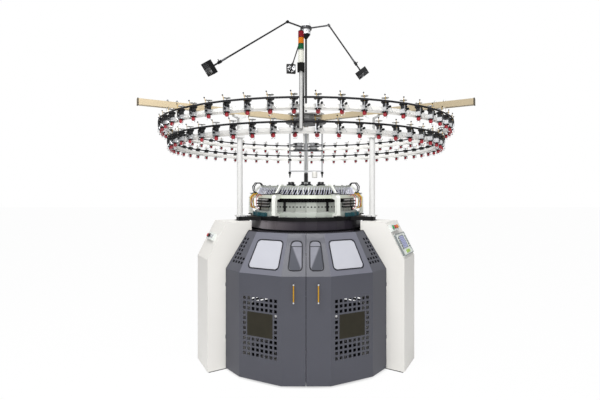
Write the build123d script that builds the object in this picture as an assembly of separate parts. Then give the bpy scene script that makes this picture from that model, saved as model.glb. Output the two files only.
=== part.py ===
# Circular knitting machine with a dial, a side creel of yarn feeders on two rings and rotating lint fans.
# Millimetres, +Z up. The origin is on the floor, on the axis of the needle cylinder, and the operator
# stands on the -Y side. An angle is measured round the axis from -Y towards +X, seen from above.

import os
from math import atan2, cos, degrees, hypot, radians, sin, tan

from build123d import *

# Fits and gaps
running_gap = 0.05
seat_gap = 0.3
leg_gap = 8.0

# Stand: three legs at 120 degrees on a cast spider
leg_angles = (-60, 60, 180)
gate_angles = (0, 120, 240)
hub_radius = 200.0
beam_width = 120.0
beam_height = 60.0
column_width = 120.0
column_inner = 620.0
column_outer = 780.0
column_foot = 930.0
column_head = 715.0
pad_inner = 730.0
pad_outer = 1015.0
pad_height = 25.0
pivot_boss_radius = 50.0
pivot_radius = 30.0
pivot_seat_height = 150.0
pivot_length = 40.0

# White sheet-metal leg covers
cover_width = 316.0
cover_sheet = 3.0
cover_outer = 1027.0
cover_inner = 560.0
cover_knee = 932.0
cover_top = 1236.0
cover_top_outer = 870.0
cover_bottom = 8.0

# Bed plate and the skirt below it
bed_radius = 545.0
bed_hole = 400.0
bed_bottom = 1240.0
bed_thickness = 32.0
ear_reach = 712.0
ear_root_width = 260.0
ear_tip_width = 100.0
skirt_radius = 538.0
skirt_sheet = 4.0
skirt_bottom = 1145.0
skirt_notch_inner = 548.0

# Enclosure: a 15-sided sheet-metal skirt of doors and guards between the legs
facet_count = 15
wall_corner = 910.0
wall_bottom = 15.0
shoulder_height = 850.0
wall_top = 1160.0
wall_sheet = 3.0
slope_angle = 32.9
seam_width = 4.0

# Openings in the doors
hole_size = 25.0
hole_pitch_across = 40.0
hole_pitch_up = 40.0
hole_columns = 8
hole_rows = 12
hole_top_height = 656.0
sight_first_row = 3
sight_rows = 5
sight_columns = 6
slope_window_bottom = 275.0
slope_window_top = 232.0
slope_window_height = 250.0
slope_window_middle = -12.0
slope_window_shift = 10.0
window_round = 30.0
small_window_inner = 30.0
small_window_bottom = 140.0
small_window_top = 116.0
pane_gap = 0.3
pane_thickness = 5.0
vent_width = 26.0
vent_height = 22.0
vent_pitch_across = 40.0
vent_pitch_up = 35.0
vent_first_column = 36.0
vent_low_row = -105.0
vent_wide_rows = 2
vent_rows = 7
guard_slot_length = 280.0
guard_slot_height = 14.0

# Door handles and hinges
handle_radius = 6.0
handle_middle = 94.0
handle_low = 660.0
handle_high = 795.0
handle_standoff = 32.0
knuckle_radius = 3.6
knuckle_length = 60.0
hinge_pin_radius = 2.0
hinge_heights = (230.0, 670.0)

# Needle cylinder, dial and the head around them
ring_sides = 36
cylinder_radius = 381.0
cylinder_wall = 26.0
cylinder_top = 1422.0
gear_radius = 420.0
gear_thickness = 39.7
dial_radius = 374.0
dial_bottom = 1426.0
dial_thickness = 24.0
shaft_radius = 10.0
shaft_top = 2210.0
thrust_collar_radius = 30.0
coupling_radius = 18.0
coupling_low = 1583.0
coupling_high = 1676.0
cap_drum_radius = 400.0
cap_bottom = 1454.0
cap_flange_radius = 440.0
cap_flange_bottom = 1510.0
cap_top = 1545.0
cap_blocks = 6
cap_block_radius = 170.0
head_bore = 386.0
base_ring_radius = 490.0
base_ring_height = 43.0
cam_box_radius = 457.0
cam_box_height = 86.0
cam_box_count = 30
cam_box_joint = 1.5
black_ring_radius = 470.0
black_ring_height = 34.0
guide_ring_radius = 484.0
guide_ring_inner = 440.0
guide_ring_height = 30.0
bracket_angles = (-150, -90, -30, 30, 90, 150)
bracket_width = 36.0
bracket_outer = 565.0
guide_count = 60
guide_size = 8.0
guide_length = 64.0
guide_foot_radius = 470.0
guide_lean = 18.0

# Take-down unit below the cylinder
hanger_radius = 370.0
hanger_width = 40.0
side_plate_middle = 335.0
side_plate_thickness = 30.0
side_plate_width = 220.0
crossbeam_height = 60.0
roller_radius = 35.0
roller_spacing = 72.0
roller_height = 810.0
cloth_bar_radius = 30.0
cloth_bar_height = 480.0
journal_radius = 12.0

# Main drive at the rear leg
motor_radius = 85.0
motor_bottom = 850.0
motor_top = 1110.0
motor_flange = 20.0
drive_shaft_radius = 12.0
pinion_radius = 44.7
drive_axis = 465.0

# Posts, arms and the yarn feeder rings
post_radius = 25.0
post_sides = 16
post_circle = 690.0
post_top = 2030.0
arm_bottom = 2184.0
arm_height = 50.0
arm_width = 50.0
arm_wall = 3.0
arm_reach = 1545.0
arm_hub_boss = 116.0
arm_hub_plate = 200.0
arm_hub_sheet = 12.0
upper_ring_radius = 1313.0
upper_ring_height = 2058.0
lower_ring_radius = 1238.0
lower_ring_height = 1916.0
ring_bar = 25.0
ring_facets = 54
feeders_per_ring = 54
feeder_width = 24.0
feeder_depth = 40.0
feeder_up = 38.0
feeder_down = 22.0
feeder_pulley_radius = 28.0
feeder_pulley_height = 11.0
feeder_drum_radius = 17.0
feeder_drum_height = 34.0
belt_sheet = 2.0
belt_height = 9.0
rail_height = 14.0
rail_sheet = 3.0

# Belt drive below the arm hub
drive_rod_middle = 160.0
drive_rod_radius = 8.0
drive_bar_thickness = 12.0
drive_bar_width = 34.0
drive_bar_low = 1690.0
drive_bar_high = 1890.0
quality_pulley_radius = 54.0
quality_pulley_middle = 74.0
quality_pulley_height = 70.0
spindle_radius = 6.0
shaft_wheel_radius = 18.0

# Signal tower on the front of the rings
tower_out = 1410.0
tower_across = -31.0
tower_pole_radius = 12.0
tower_pole_low = 1896.0
tower_box_low = 2252.0
tower_box_high = 2301.0
tower_box_width = 46.0
tower_lamp_radius = 18.0
tower_base_high = 2383.0
tower_lamp_height = 40.0

# Rotating lint fans on the mast
mast_radius = 10.0
elbow_height = 3111.0
cone_height = 40.0
fan_hub_radius = 44.0
fan_hub_height = 50.0
fan_band_radius = 57.0
fan_band_height = 22.0
fan_cap_radius = 48.0
fan_cap_height = 40.0
short_arm_radius = 8.0
elbow_radius = 235.0
elbow_lug_radius = 13.0
elbow_lug_thickness = 10.0
elbow_pin_radius = 4.0
long_arm_radius = 7.0
fan_size = 110.0
fan_depth = 38.0
fan_bore = 51.0
fan_core_radius = 20.0
fan_blades = 5
# Name, angle round the mast, radius of the fan's centre and its height
fan_places = (
    ("left", -49, 1046.0, 2500.0),
    ("right", 71, 560.0, 2616.0),
    ("rear", 191, 935.0, 2999.0),
)

# Push buttons on the legs
button_plate_height = 62.0
button_plate_depth = 22.0
button_radius = 15.0
button_rise = 12.0
button_travel = 4.0
left_plate_up = 193.0
left_plate_width = 160.0
left_button_places = (-56.0, -18.0)
right_plate_up = 282.0
right_plate_width = 180.0
right_button_places = (-115.0, -60.0, -5.0)
panel_width = 264.0
panel_height = 195.0
panel_depth = 14.0
panel_up = 124.0

# Values that follow from the ones above
half_facet = 180 / facet_count
wall_apothem = wall_corner * cos(radians(half_facet))
slope_height = wall_top - shoulder_height
slope_run = slope_height * tan(radians(slope_angle))
slope_length = hypot(slope_run, slope_height)
flange_rise = wall_top - skirt_bottom - cover_sheet
flange_apothem = wall_apothem - slope_run + flange_rise * tan(radians(slope_angle))
flange_apothem -= (wall_sheet + seat_gap) / cos(radians(slope_angle))
skirt_flange_corner = flange_apothem / cos(radians(half_facet))
bed_top = bed_bottom + bed_thickness
cam_box_bottom = bed_top + base_ring_height
black_ring_bottom = cam_box_bottom + cam_box_height
guide_ring_bottom = black_ring_bottom + black_ring_height
guide_ring_top = guide_ring_bottom + guide_ring_height
gear_bottom = bed_bottom - seat_gap - gear_thickness
arm_top = arm_bottom + arm_height
cover_slope = hypot(cover_outer - cover_top_outer, cover_top - cover_knee)
cover_lean = degrees(atan2(cover_outer - cover_top_outer, cover_top - cover_knee))
journal_end = side_plate_middle + side_plate_thickness / 2 - 1
feeder_step = 360 / feeders_per_ring
fan_band_low = elbow_height - fan_band_height / 2
fan_band_high = elbow_height + fan_band_height / 2
fan_cap_high = fan_band_high + fan_cap_height
cone_high = fan_band_low - fan_hub_height
cone_low = cone_high - cone_height
mast_top = fan_band_low - 10

# Flat drawing planes of a piece that faces the operator: side view, and the panel's own faces
side_plane = Plane(origin=(0, 0, 0), x_dir=(0, -1, 0), z_dir=(-1, 0, 0))


def turned(angle, shape):
    """The shape, drawn facing the operator, turned to its angle round the axis."""
    return Rot(0, 0, angle) * shape


def box(x_low, x_high, y_low, y_high, z_low, z_high):
    """A box between its low and high faces."""
    size = (x_high - x_low, y_high - y_low, z_high - z_low)
    middle = Pos((x_low + x_high) / 2, (y_low + y_high) / 2, (z_low + z_high) / 2)
    return middle * Box(*size)


def outward_box(width, inner, outer, low, high):
    """A box that faces the operator, between two distances from the axis."""
    return box(-width / 2, width / 2, -outer, -inner, low, high)


def rod(radius, low, high, x=0.0, y=0.0):
    """An upright round bar."""
    return Pos(x, y, (low + high) / 2) * Cylinder(radius, high - low)


def prism(sides, radius, low, high, x=0.0, y=0.0):
    """An upright bar with flat sides, for a round piece that repeats many times."""
    return Pos(x, y, low) * extrude(RegularPolygon(radius, sides), high - low)


def faceted_ring(sides, outer, inner, low, high):
    """A flat-sided ring round the axis; the radii are those of its corners."""
    return Pos(0, 0, low) * extrude(RegularPolygon(outer, sides) - RegularPolygon(inner, sides), high - low)


def side_plate(points, width, offset=0.0):
    """A plate with a side outline of (distance from the axis, height) points, facing the operator."""
    outline = make_face(Polyline(*points, close=True))
    return Pos(offset, 0, 0) * extrude(side_plane * outline, width / 2, both=True)


def group(pieces):
    """Separate solids that belong to one node."""
    return Compound(children=[solid for piece in pieces for solid in piece.solids()])


def across_bar(sides, radius, length):
    """A flat-sided bar that lies along Y, with its middle at the origin."""
    return extrude(Plane.XZ * RegularPolygon(radius, sides), length / 2, both=True)


def save(name, shape):
    """Write one node."""
    export_step(shape, f"parts/{name}.step")


# Stand


def base_frame():
    """Cast spider with a pivot for the take-down unit, and the three columns that carry the bed."""
    frame = prism(24, hub_radius, 0, beam_height)
    column = (
        (column_inner, 0),
        (column_foot, 0),
        (column_foot, beam_height + 20),
        (column_outer, 420),
        (column_outer, bed_bottom - 190),
        (column_head, bed_bottom - 40),
        (column_head, bed_bottom),
        (column_inner, bed_bottom),
    )
    pocket_depth = column_width / 3
    for angle in leg_angles:
        leg = outward_box(beam_width, 0, column_foot, 0, beam_height)
        leg += outward_box(cover_width - 2 * cover_sheet, pad_inner, pad_outer, 0, pad_height)
        leg += side_plate(column, column_width)
        for side in (-1, 1):
            pocket_middle = side * column_width / 2
            leg -= box(
                pocket_middle - pocket_depth,
                pocket_middle + pocket_depth,
                -column_outer + 30,
                -column_inner - 30,
                150,
                bed_bottom - 240,
            )
        frame += turned(angle, leg)
    frame += prism(16, pivot_boss_radius, beam_height, pivot_seat_height - seat_gap)
    frame += rod(pivot_radius, pivot_seat_height - seat_gap, pivot_seat_height + pivot_length)
    return frame


def leg_cover(angle, knuckle_sides):
    """Folded white cover of one leg: two sides, the outer face, the slope and the top."""
    outline = (
        (cover_inner, cover_bottom),
        (cover_outer, cover_bottom),
        (cover_outer, cover_knee),
        (cover_top_outer, cover_top),
        (cover_inner, cover_top),
    )
    knee_drop = cover_sheet * tan(radians(cover_lean / 2))
    top_pull = cover_sheet * tan(radians((90 - cover_lean) / 2))
    hollow = (
        (cover_inner - 1, cover_bottom - 1),
        (cover_outer - cover_sheet, cover_bottom - 1),
        (cover_outer - cover_sheet, cover_knee - knee_drop),
        (cover_top_outer - top_pull, cover_top - cover_sheet),
        (cover_inner - 1, cover_top - cover_sheet),
    )
    cover = side_plate(outline, cover_width) - side_plate(hollow, cover_width - 2 * cover_sheet)
    cover -= outward_box(column_width + 10, cover_inner - 1, column_head + 5, cover_top - 10, cover_top + 1)
    for side in knuckle_sides:
        for low in hinge_heights:
            cover += leg_knuckle(side, low)
    return turned(angle, cover)


def hinge_place():
    """Distance from the axis along the leg, and from the leg's middle plane, of a door's hinge axis."""
    across = cover_width / 2 + leg_gap / 2
    edge = cover_width / 2 + leg_gap
    out = (wall_apothem - edge * sin(radians(half_facet))) / cos(radians(half_facet))
    return out - 1.0, across


def leg_knuckle(side, low):
    """The leg's half of a door hinge: a knuckle with its pin, on the side wall of the cover."""
    out, across = hinge_place()
    high = low + knuckle_length / 2
    knuckle = prism(10, knuckle_radius, low, high, side * across, -out)
    web_edges = sorted((side * cover_width / 2, side * across))
    knuckle += box(*web_edges, -out - 3, -out + 3, low, high)
    return knuckle + rod(hinge_pin_radius, high, high + knuckle_length / 2, side * across, -out)


def bed_plate():
    """Round plate with three ears that carries the knitting head."""
    plan = RegularPolygon(bed_radius, ring_sides)
    for angle in leg_angles:
        ear = make_face(
            Polyline(
                (-ear_root_width / 2, -bed_radius * 0.9),
                (ear_root_width / 2, -bed_radius * 0.9),
                (ear_tip_width / 2, -ear_reach + 20),
                (ear_tip_width / 2 - 20, -ear_reach),
                (20 - ear_tip_width / 2, -ear_reach),
                (-ear_tip_width / 2, -ear_reach + 20),
                close=True,
            )
        )
        plan += Rot(0, 0, angle) * ear
    plan -= RegularPolygon(bed_hole, ring_sides)
    return Pos(0, 0, bed_bottom) * extrude(plan, bed_thickness)


def skirt_ring():
    """Sheet skirt below the bed, with a flange that closes the enclosure's top round the columns."""
    skirt = faceted_ring(ring_sides, skirt_radius, skirt_radius - skirt_sheet, skirt_bottom, bed_bottom)
    flange = gate_polygon(skirt_flange_corner) - RegularPolygon(skirt_radius - skirt_sheet, ring_sides)
    flange = Pos(0, 0, skirt_bottom) * extrude(flange, cover_sheet)
    for angle in leg_angles:
        notch = outward_box(
            cover_width + 2 * leg_gap,
            skirt_notch_inner,
            skirt_flange_corner + 1,
            skirt_bottom - 1,
            skirt_bottom + cover_sheet + 1,
        )
        flange -= turned(angle, notch)
    return skirt + flange


# Enclosure


def gate_polygon(corner):
    """The enclosure's 15-sided plan with a flat side towards the operator."""
    return RegularPolygon(corner, facet_count, rotation=half_facet - 90)


def enclosure_shell():
    """The whole folded wall before it is cut into gates: upright panels with a sloped shoulder."""
    inner_corner = wall_corner - wall_sheet / cos(radians(half_facet))
    crease = shoulder_height - wall_sheet * tan(radians(slope_angle / 2))
    outer = Pos(0, 0, wall_bottom) * extrude(gate_polygon(wall_corner), shoulder_height - wall_bottom)
    outer += Pos(0, 0, shoulder_height) * extrude(gate_polygon(wall_corner), slope_height, taper=slope_angle)
    inner = Pos(0, 0, wall_bottom - 1) * extrude(gate_polygon(inner_corner), crease - wall_bottom + 1)
    inner += Pos(0, 0, crease) * extrude(gate_polygon(inner_corner), wall_top - crease + 1, taper=slope_angle)
    return outer - inner


def gate_wedge():
    """The space between two legs, with the gap that the gate keeps from the covers."""
    edge = cover_width / 2 + leg_gap
    apex = -edge / sin(radians(60))
    reach = 2 * wall_corner
    corners = (
        (0, apex),
        (reach * sin(radians(60)), apex - reach * cos(radians(60))),
        (-reach * sin(radians(60)), apex - reach * cos(radians(60))),
    )
    return extrude(make_face(Polyline(*corners, close=True)), wall_top + 1)


def slope_plane():
    """Drawing plane on the middle of a sloped panel that faces the operator."""
    lean = radians(slope_angle)
    middle = wall_apothem - slope_run / 2
    return Plane(
        origin=(0, -middle, shoulder_height + slope_height / 2),
        x_dir=(1, 0, 0),
        z_dir=(0, -cos(lean), sin(lean)),
    )


def wall_plane(height=0.0):
    """Drawing plane on an upright panel that faces the operator."""
    return Plane(origin=(0, -wall_apothem, height), x_dir=(1, 0, 0), z_dir=(0, -1, 0))


def rounded(points, radius):
    """A flat outline with each corner cut by two chamfers in a row, which reads as round."""
    outline = make_face(Polyline(*points, close=True))
    outline = chamfer(outline.vertices(), radius)
    return chamfer(outline.vertices(), radius / 3)


def large_window(shift, shrink=0.0):
    """Outline of the big sloped window, narrower at its top as the panel is."""
    low, high = slope_window_bottom / 2 - shrink, slope_window_top / 2 - shrink
    rise = slope_window_height / 2 - shrink
    outline = rounded(((-low, -rise), (low, -rise), (high, rise), (-high, rise)), window_round - shrink)
    return Pos(shift, slope_window_middle) * outline


def small_window(side, shrink=0.0):
    """Outline of the narrow sloped window beside the seam."""
    inner = small_window_inner + shrink
    low, high = small_window_bottom - shrink, small_window_top - shrink
    rise = slope_window_height / 2 - shrink
    points = ((inner, -rise), (low, -rise), (high, rise), (inner, rise))
    outline = rounded([(side * across, up) for across, up in points], window_round - shrink)
    return Pos(0, slope_window_middle) * outline


def sight_size():
    """Width and height of the square sight glass that takes the middle of the hole field."""
    return (
        sight_columns * hole_pitch_across - (hole_pitch_across - hole_size) + 4,
        sight_rows * hole_pitch_up - (hole_pitch_up - hole_size) + 4,
    )


def sight_height():
    """Height of the middle of the sight glass."""
    return hole_top_height - (sight_first_row + (sight_rows - 1) / 2) * hole_pitch_up


def hole_field():
    """The square holes of one upright panel, apart from where the sight glass is."""
    holes = []
    edge_columns = (hole_columns - sight_columns) // 2
    for row in range(hole_rows):
        for column in range(hole_columns):
            in_rows = sight_first_row <= row < sight_first_row + sight_rows
            in_columns = edge_columns <= column < hole_columns - edge_columns
            if in_rows and in_columns:
                continue
            across = (column - (hole_columns - 1) / 2) * hole_pitch_across
            up = hole_top_height - row * hole_pitch_up
            holes.append(Pos(across, up) * Rectangle(hole_size, hole_size))
    return Sketch(children=holes)


def through(plane, sketch):
    """A cutter through a panel from a sketch on its plane."""
    return extrude(plane * sketch, 4 * wall_sheet, both=True)


def vents(side):
    """Rows of square slots in the sloped panel beside a leg."""
    slots = []
    for row in range(vent_rows):
        for column in range(4 if row < vent_wide_rows else 2):
            across = side * (vent_first_column + column * vent_pitch_across)
            up = vent_low_row + row * vent_pitch_up
            slots.append(Pos(across, up) * Rectangle(vent_width, vent_height))
    return Sketch(children=slots)


def facet_angle(index):
    """Angle of a panel, counted from the middle one."""
    return index * 360 / facet_count


def door(side):
    """One front door leaf: half the middle panel and the two panels beside it, in one folded sheet."""
    leaf = enclosure_shell() & gate_wedge()
    keep = box(seam_width / 2, 2 * wall_corner, -2 * wall_corner, 0, 0, wall_top + 1)
    leaf = leaf & (keep if side > 0 else mirror(keep, Plane.YZ))
    inner_facet, outer_facet = facet_angle(side), facet_angle(2 * side)
    width, height = sight_size()
    leaf -= through(slope_plane(), small_window(side))
    leaf -= turned(inner_facet, through(slope_plane(), large_window(-side * slope_window_shift)))
    leaf -= turned(inner_facet, through(wall_plane(), hole_field()))
    leaf -= turned(inner_facet, through(wall_plane(sight_height()), Rectangle(width, height)))
    leaf -= turned(outer_facet, through(slope_plane(), vents(-side)))
    for low in hinge_heights:
        leaf += door_knuckle(side, low + knuckle_length / 2)
    return leaf.solid()


def door_knuckle(side, low):
    """The door's half of a hinge, standing on the leg's knuckle with a running clearance."""
    out, across = hinge_place()
    low = low + seat_gap
    high = low + knuckle_length / 2
    near_edge = across + knuckle_radius / 2
    knuckle = prism(10, knuckle_radius, low, high, side * across, -out)
    strap_edges = sorted((side * near_edge, side * (cover_width / 2 + leg_gap + 6)))
    knuckle += box(*strap_edges, -out - 1, -out + 3, low, high)
    knuckle -= rod(hinge_pin_radius + running_gap, low - 1, high + 1, side * across, -out)
    return turned(side * 60, mirror(knuckle, Plane.YZ))


def pane(plane, outline):
    """A pane that lies in its opening, flush with the back of the sheet."""
    return extrude(plane * outline, -pane_thickness) & extrude(plane * outline, pane_thickness * 2, both=True)


def door_panes(side):
    """The three panes of a door leaf."""
    inner_facet = facet_angle(side)
    width, height = sight_size()
    sight = Rectangle(width - 2 * pane_gap, height - 2 * pane_gap)
    return group(
        [
            pane(slope_plane(), small_window(side, pane_gap)),
            turned(inner_facet, pane(slope_plane(), large_window(-side * slope_window_shift, pane_gap))),
            turned(inner_facet, pane(wall_plane(sight_height()), sight)),
        ]
    )


def door_handle(side):
    """Brass bar handle on two feet beside the seam."""
    out = wall_apothem + handle_standoff
    x = side * handle_middle
    handle = prism(10, handle_radius, handle_low, handle_high, x, -out)
    for height in (handle_low + 8, handle_high - 8):
        foot = across_bar(8, handle_radius - 1, handle_standoff)
        handle += Pos(x, -wall_apothem - handle_standoff / 2, height) * foot
    return handle


def rear_guard(angle):
    """Fixed guard between the rear leg and a front leg, folded like the doors but in one sheet."""
    guard = enclosure_shell() & gate_wedge()
    width, height = sight_size()
    slots = Sketch(children=[
        Pos(0, hole_top_height - row * hole_pitch_up) * Rectangle(guard_slot_length, guard_slot_height)
        for row in range(hole_rows)
        if not sight_first_row <= row < sight_first_row + sight_rows
    ])
    for side in (-1, 1):
        inner_facet = facet_angle(side)
        guard -= turned(inner_facet, through(slope_plane(), large_window(0)))
        guard -= turned(inner_facet, through(wall_plane(), slots))
        guard -= turned(inner_facet, through(wall_plane(sight_height()), Rectangle(width, height)))
    return turned(angle, guard)


def guard_panes(angle):
    """The four panes of a rear guard."""
    width, height = sight_size()
    sight = Rectangle(width - 2 * pane_gap, height - 2 * pane_gap)
    panes = []
    for side in (-1, 1):
        for plane, outline in ((slope_plane(), large_window(0, pane_gap)), (wall_plane(sight_height()), sight)):
            panes.append(turned(angle + facet_angle(side), pane(plane, outline)))
    return panes


# Knitting head


def needle_cylinder():
    """Cylinder with its driving gear below the bed; the gear's teeth are left off."""
    inner = cylinder_radius - cylinder_wall
    body = faceted_ring(ring_sides, cylinder_radius, inner, gear_bottom, cylinder_top)
    return body + faceted_ring(ring_sides, gear_radius, inner, gear_bottom, gear_bottom + gear_thickness)


def dial():
    """Needle dial on the centre shaft, with its coupling and the wheel of the feeder drive."""
    shaft = rod(shaft_radius, dial_bottom, shaft_top)
    shaft += prism(ring_sides, dial_radius, dial_bottom, dial_bottom + dial_thickness)
    shaft += prism(16, thrust_collar_radius, cap_top + seat_gap, cap_top + 15)
    shaft += prism(12, coupling_radius, coupling_low, coupling_high)
    wheel_low = drive_bar_high + drive_bar_thickness + seat_gap
    return shaft + prism(16, shaft_wheel_radius, wheel_low, wheel_low + quality_pulley_height)


def dial_cap():
    """Cam carrier of the dial with its rim flange and the cam setting blocks on top."""
    cap = prism(ring_sides, cap_drum_radius, cap_bottom, cap_flange_bottom)
    cap += prism(ring_sides, cap_flange_radius, cap_flange_bottom, cap_top)
    for index in range(cap_blocks):
        block = outward_box(104, cap_block_radius - 18, cap_block_radius + 18, cap_top, cap_top + 22)
        for x in (-32, 32):
            block += prism(6, 12, cap_top + 22, cap_top + 44, x, -cap_block_radius)
        cap += turned(index * 360 / cap_blocks, block)
    return cap - rod(shaft_radius + running_gap, cap_bottom - 1, cap_top + 1)


def cam_boxes():
    """Cam box segments round the cylinder, with a narrow joint between neighbours."""
    spread = tan(radians(180 / cam_box_count))
    inner = head_bore * spread - cam_box_joint / 2
    outer = cam_box_radius * spread - cam_box_joint / 2
    plan = ((-inner, -head_bore), (inner, -head_bore), (outer, -cam_box_radius), (-outer, -cam_box_radius))
    segment = Pos(0, 0, cam_box_bottom) * extrude(make_face(Polyline(*plan, close=True)), cam_box_height)
    step = 360 / cam_box_count
    return group([turned((index + 0.5) * step, segment) for index in range(cam_box_count)])


def ring_bracket(angle):
    """C-shaped casting from the bed over the guide ring, with a thin stay to the dial's cam carrier."""
    casting = (
        (base_ring_radius + 2, bed_top),
        (bracket_outer - 15, bed_top),
        (bracket_outer, bed_top + 15),
        (bracket_outer, guide_ring_top - 25),
        (bracket_outer - 25, guide_ring_top + 10),
        (guide_ring_radius - 22, guide_ring_top + 10),
        (guide_ring_radius - 22, guide_ring_top),
        (guide_ring_radius + 1, guide_ring_top),
        (guide_ring_radius + 1, guide_ring_bottom),
        (bracket_outer - 32, guide_ring_bottom - 12),
        (bracket_outer - 32, bed_top + 40),
        (base_ring_radius + 2, bed_top + 22),
    )
    stay = (
        (bracket_outer - 47, guide_ring_top + 5),
        (bracket_outer - 22, guide_ring_top + 5),
        (cap_flange_radius + 15, cap_top + 14),
        (cap_flange_radius - 30, cap_top + 14),
        (cap_flange_radius - 30, cap_top),
        (cap_flange_radius + 3, cap_top),
    )
    return turned(angle, side_plate(casting, bracket_width) + side_plate(stay, bracket_width / 3))


def yarn_guide(angle):
    """One slanted guide finger on the guide ring."""
    foot, tip = guide_foot_radius, guide_foot_radius - guide_length * tan(radians(guide_lean))
    outline = (
        (foot + guide_size / 2, guide_ring_top),
        (tip + guide_size / 2, guide_ring_top + guide_length),
        (tip - guide_size / 2, guide_ring_top + guide_length),
        (foot - guide_size / 2, guide_ring_top),
    )
    return turned(angle, side_plate(outline, guide_size))


# Take-down unit


def take_down_frame():
    """Two side plates on a crossbeam that hang from the gear and turn with it on the base's pivot."""
    beam_low = pivot_seat_height
    beam_high = beam_low + crossbeam_height
    half = side_plate_middle + side_plate_thickness / 2
    frame = box(-half, half, -60, 60, beam_low, beam_high)
    frame += prism(16, 2 * pivot_radius + 5, beam_low, beam_high)
    frame += faceted_ring(ring_sides, hanger_radius, hanger_radius - hanger_width, gear_bottom - 20, gear_bottom)
    for side in (-1, 1):
        middle = side * side_plate_middle
        plate = box(
            middle - side_plate_thickness / 2,
            middle + side_plate_thickness / 2,
            -side_plate_width / 2,
            side_plate_width / 2,
            beam_low,
            gear_bottom - 20,
        )
        for low, high in ((280, 410), (550, 740), (890, gear_bottom - 100)):
            plate -= box(middle - 40, middle + 40, -60, 60, low, high)
        frame += plate
    frame += box(-side_plate_middle, side_plate_middle, -20, 20, gear_bottom - 65, gear_bottom - 35)
    frame -= rod(pivot_radius + running_gap, beam_low - 1, beam_low + pivot_length + 2)
    for y, height in ((-roller_spacing / 2, roller_height), (roller_spacing / 2, roller_height),
                      (0, cloth_bar_height)):
        frame -= across_rod(journal_radius + running_gap, 2 * half + 2, y, height)
    return frame


def across_rod(radius, length, y, height):
    """A round bar that lies along X."""
    return Pos(0, y, height) * Cylinder(radius, length, rotation=(0, 90, 0))


def roller(radius, y, height):
    """A roller with a journal at each end."""
    half = side_plate_middle - side_plate_thickness / 2 - 2
    body = Pos(0, y, height) * extrude(Plane.YZ * RegularPolygon(radius, 20), half, both=True)
    return body + across_rod(journal_radius, 2 * journal_end, y, height)


# Main drive


def drive_motor():
    """Upright motor whose flange is bolted to the rear column."""
    motor = prism(24, motor_radius, motor_bottom, motor_top, 0, drive_axis)
    motor += prism(24, motor_radius * 0.8, motor_bottom - 30, motor_bottom, 0, drive_axis)
    motor += box(-motor_radius, motor_radius, drive_axis - motor_radius, column_inner, motor_top,
                 motor_top + motor_flange)
    return motor - rod(drive_shaft_radius + running_gap, motor_top - 30, motor_top + motor_flange + 1, 0,
                       drive_axis)


def drive_shaft():
    """Motor shaft with the pinion that drives the cylinder's gear; its teeth are left off."""
    shaft = rod(drive_shaft_radius, motor_top - 30 + seat_gap, gear_bottom + gear_thickness - 2, 0, drive_axis)
    return shaft + prism(24, pinion_radius, gear_bottom, gear_bottom + gear_thickness - 4, 0, drive_axis)


# Posts, arms and rings


def post_clamp(angle):
    """Foot clamp on the ear and head bracket below the arm of one post."""
    foot = outward_box(64, post_circle - 36, post_circle + 36, bed_top, bed_top + 14)
    head = side_plate(
        (
            (post_circle - 35, post_top - 50),
            (post_circle + 35, post_top - 50),
            (post_circle + 35, post_top + 10),
            (post_circle + 14, post_top + 30),
            (post_circle + 14, arm_bottom - 30),
            (post_circle + 60, arm_bottom - 12),
            (post_circle + 60, arm_bottom),
            (post_circle - 60, arm_bottom),
            (post_circle - 60, arm_bottom - 12),
            (post_circle - 14, arm_bottom - 30),
            (post_circle - 14, post_top + 30),
            (post_circle - 35, post_top + 10),
        ),
        68,
    )
    clear = prism(post_sides, post_radius, bed_top, post_top, 0, -post_circle)
    return [turned(angle, foot - clear), turned(angle, head - clear)]


def ring_arm(angle):
    """Rectangular tube from the hub out over the rings, closed at its outer end."""
    tube = outward_box(arm_width, arm_hub_boss, arm_reach, arm_bottom, arm_top)
    tube -= outward_box(
        arm_width - 2 * arm_wall,
        arm_hub_boss - 1,
        arm_reach - 2 * arm_wall,
        arm_bottom + arm_wall,
        arm_top - arm_wall,
    )
    return turned(angle, tube)


def arm_hub():
    """Central boss that the three arms butt against, between two plates."""
    boss_corner = arm_hub_boss / cos(radians(180 / 12))
    hub = turned(180 / 12, prism(12, arm_hub_boss, arm_bottom, arm_top))
    hub += prism(24, arm_hub_plate, arm_bottom - arm_hub_sheet, arm_bottom)
    hub += prism(24, arm_hub_plate, arm_top, arm_top + arm_hub_sheet)
    for angle in leg_angles:
        hub += turned(angle, outward_box(arm_width, 0, arm_hub_boss, arm_bottom, arm_top))
    return hub - rod(shaft_radius + running_gap, arm_bottom - arm_hub_sheet - 1, shaft_top + 10)


def square_ring(radius, height):
    """A feeder ring bar bent round the axis."""
    half = ring_bar / 2
    ring = faceted_ring(ring_facets, radius + half, radius - half, height - half, height + half)
    return turned(180 / ring_facets, ring)


def upper_ring():
    """Upper feeder ring with the blocks that hang it from the arms."""
    ring = square_ring(upper_ring_radius, upper_ring_height)
    for angle in leg_angles:
        block = outward_box(
            28,
            upper_ring_radius - ring_bar / 2,
            upper_ring_radius + ring_bar / 2 - 3,
            upper_ring_height,
            arm_bottom,
        )
        ring += turned(angle, block)
    return ring


def lower_ring():
    """Lower feeder ring with the rods that hang it from the arms."""
    ring = square_ring(lower_ring_radius, lower_ring_height)
    for angle in leg_angles:
        ring += turned(angle, prism(8, 9, lower_ring_height, arm_bottom, 0, -lower_ring_radius))
    return ring


def rings():
    """Radius and height of each feeder ring."""
    return ((upper_ring_radius, upper_ring_height), (lower_ring_radius, lower_ring_height))


def feeder_angles():
    """Angles of the feeders on one ring, set so that none meets an arm or the signal tower."""
    return [(index + 0.5) * feeder_step for index in range(feeders_per_ring)]


def feeder_inner(radius):
    """Distance from the axis of the flat that the feeders are clamped to."""
    return (radius + ring_bar / 2) * cos(radians(180 / ring_facets))


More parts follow.
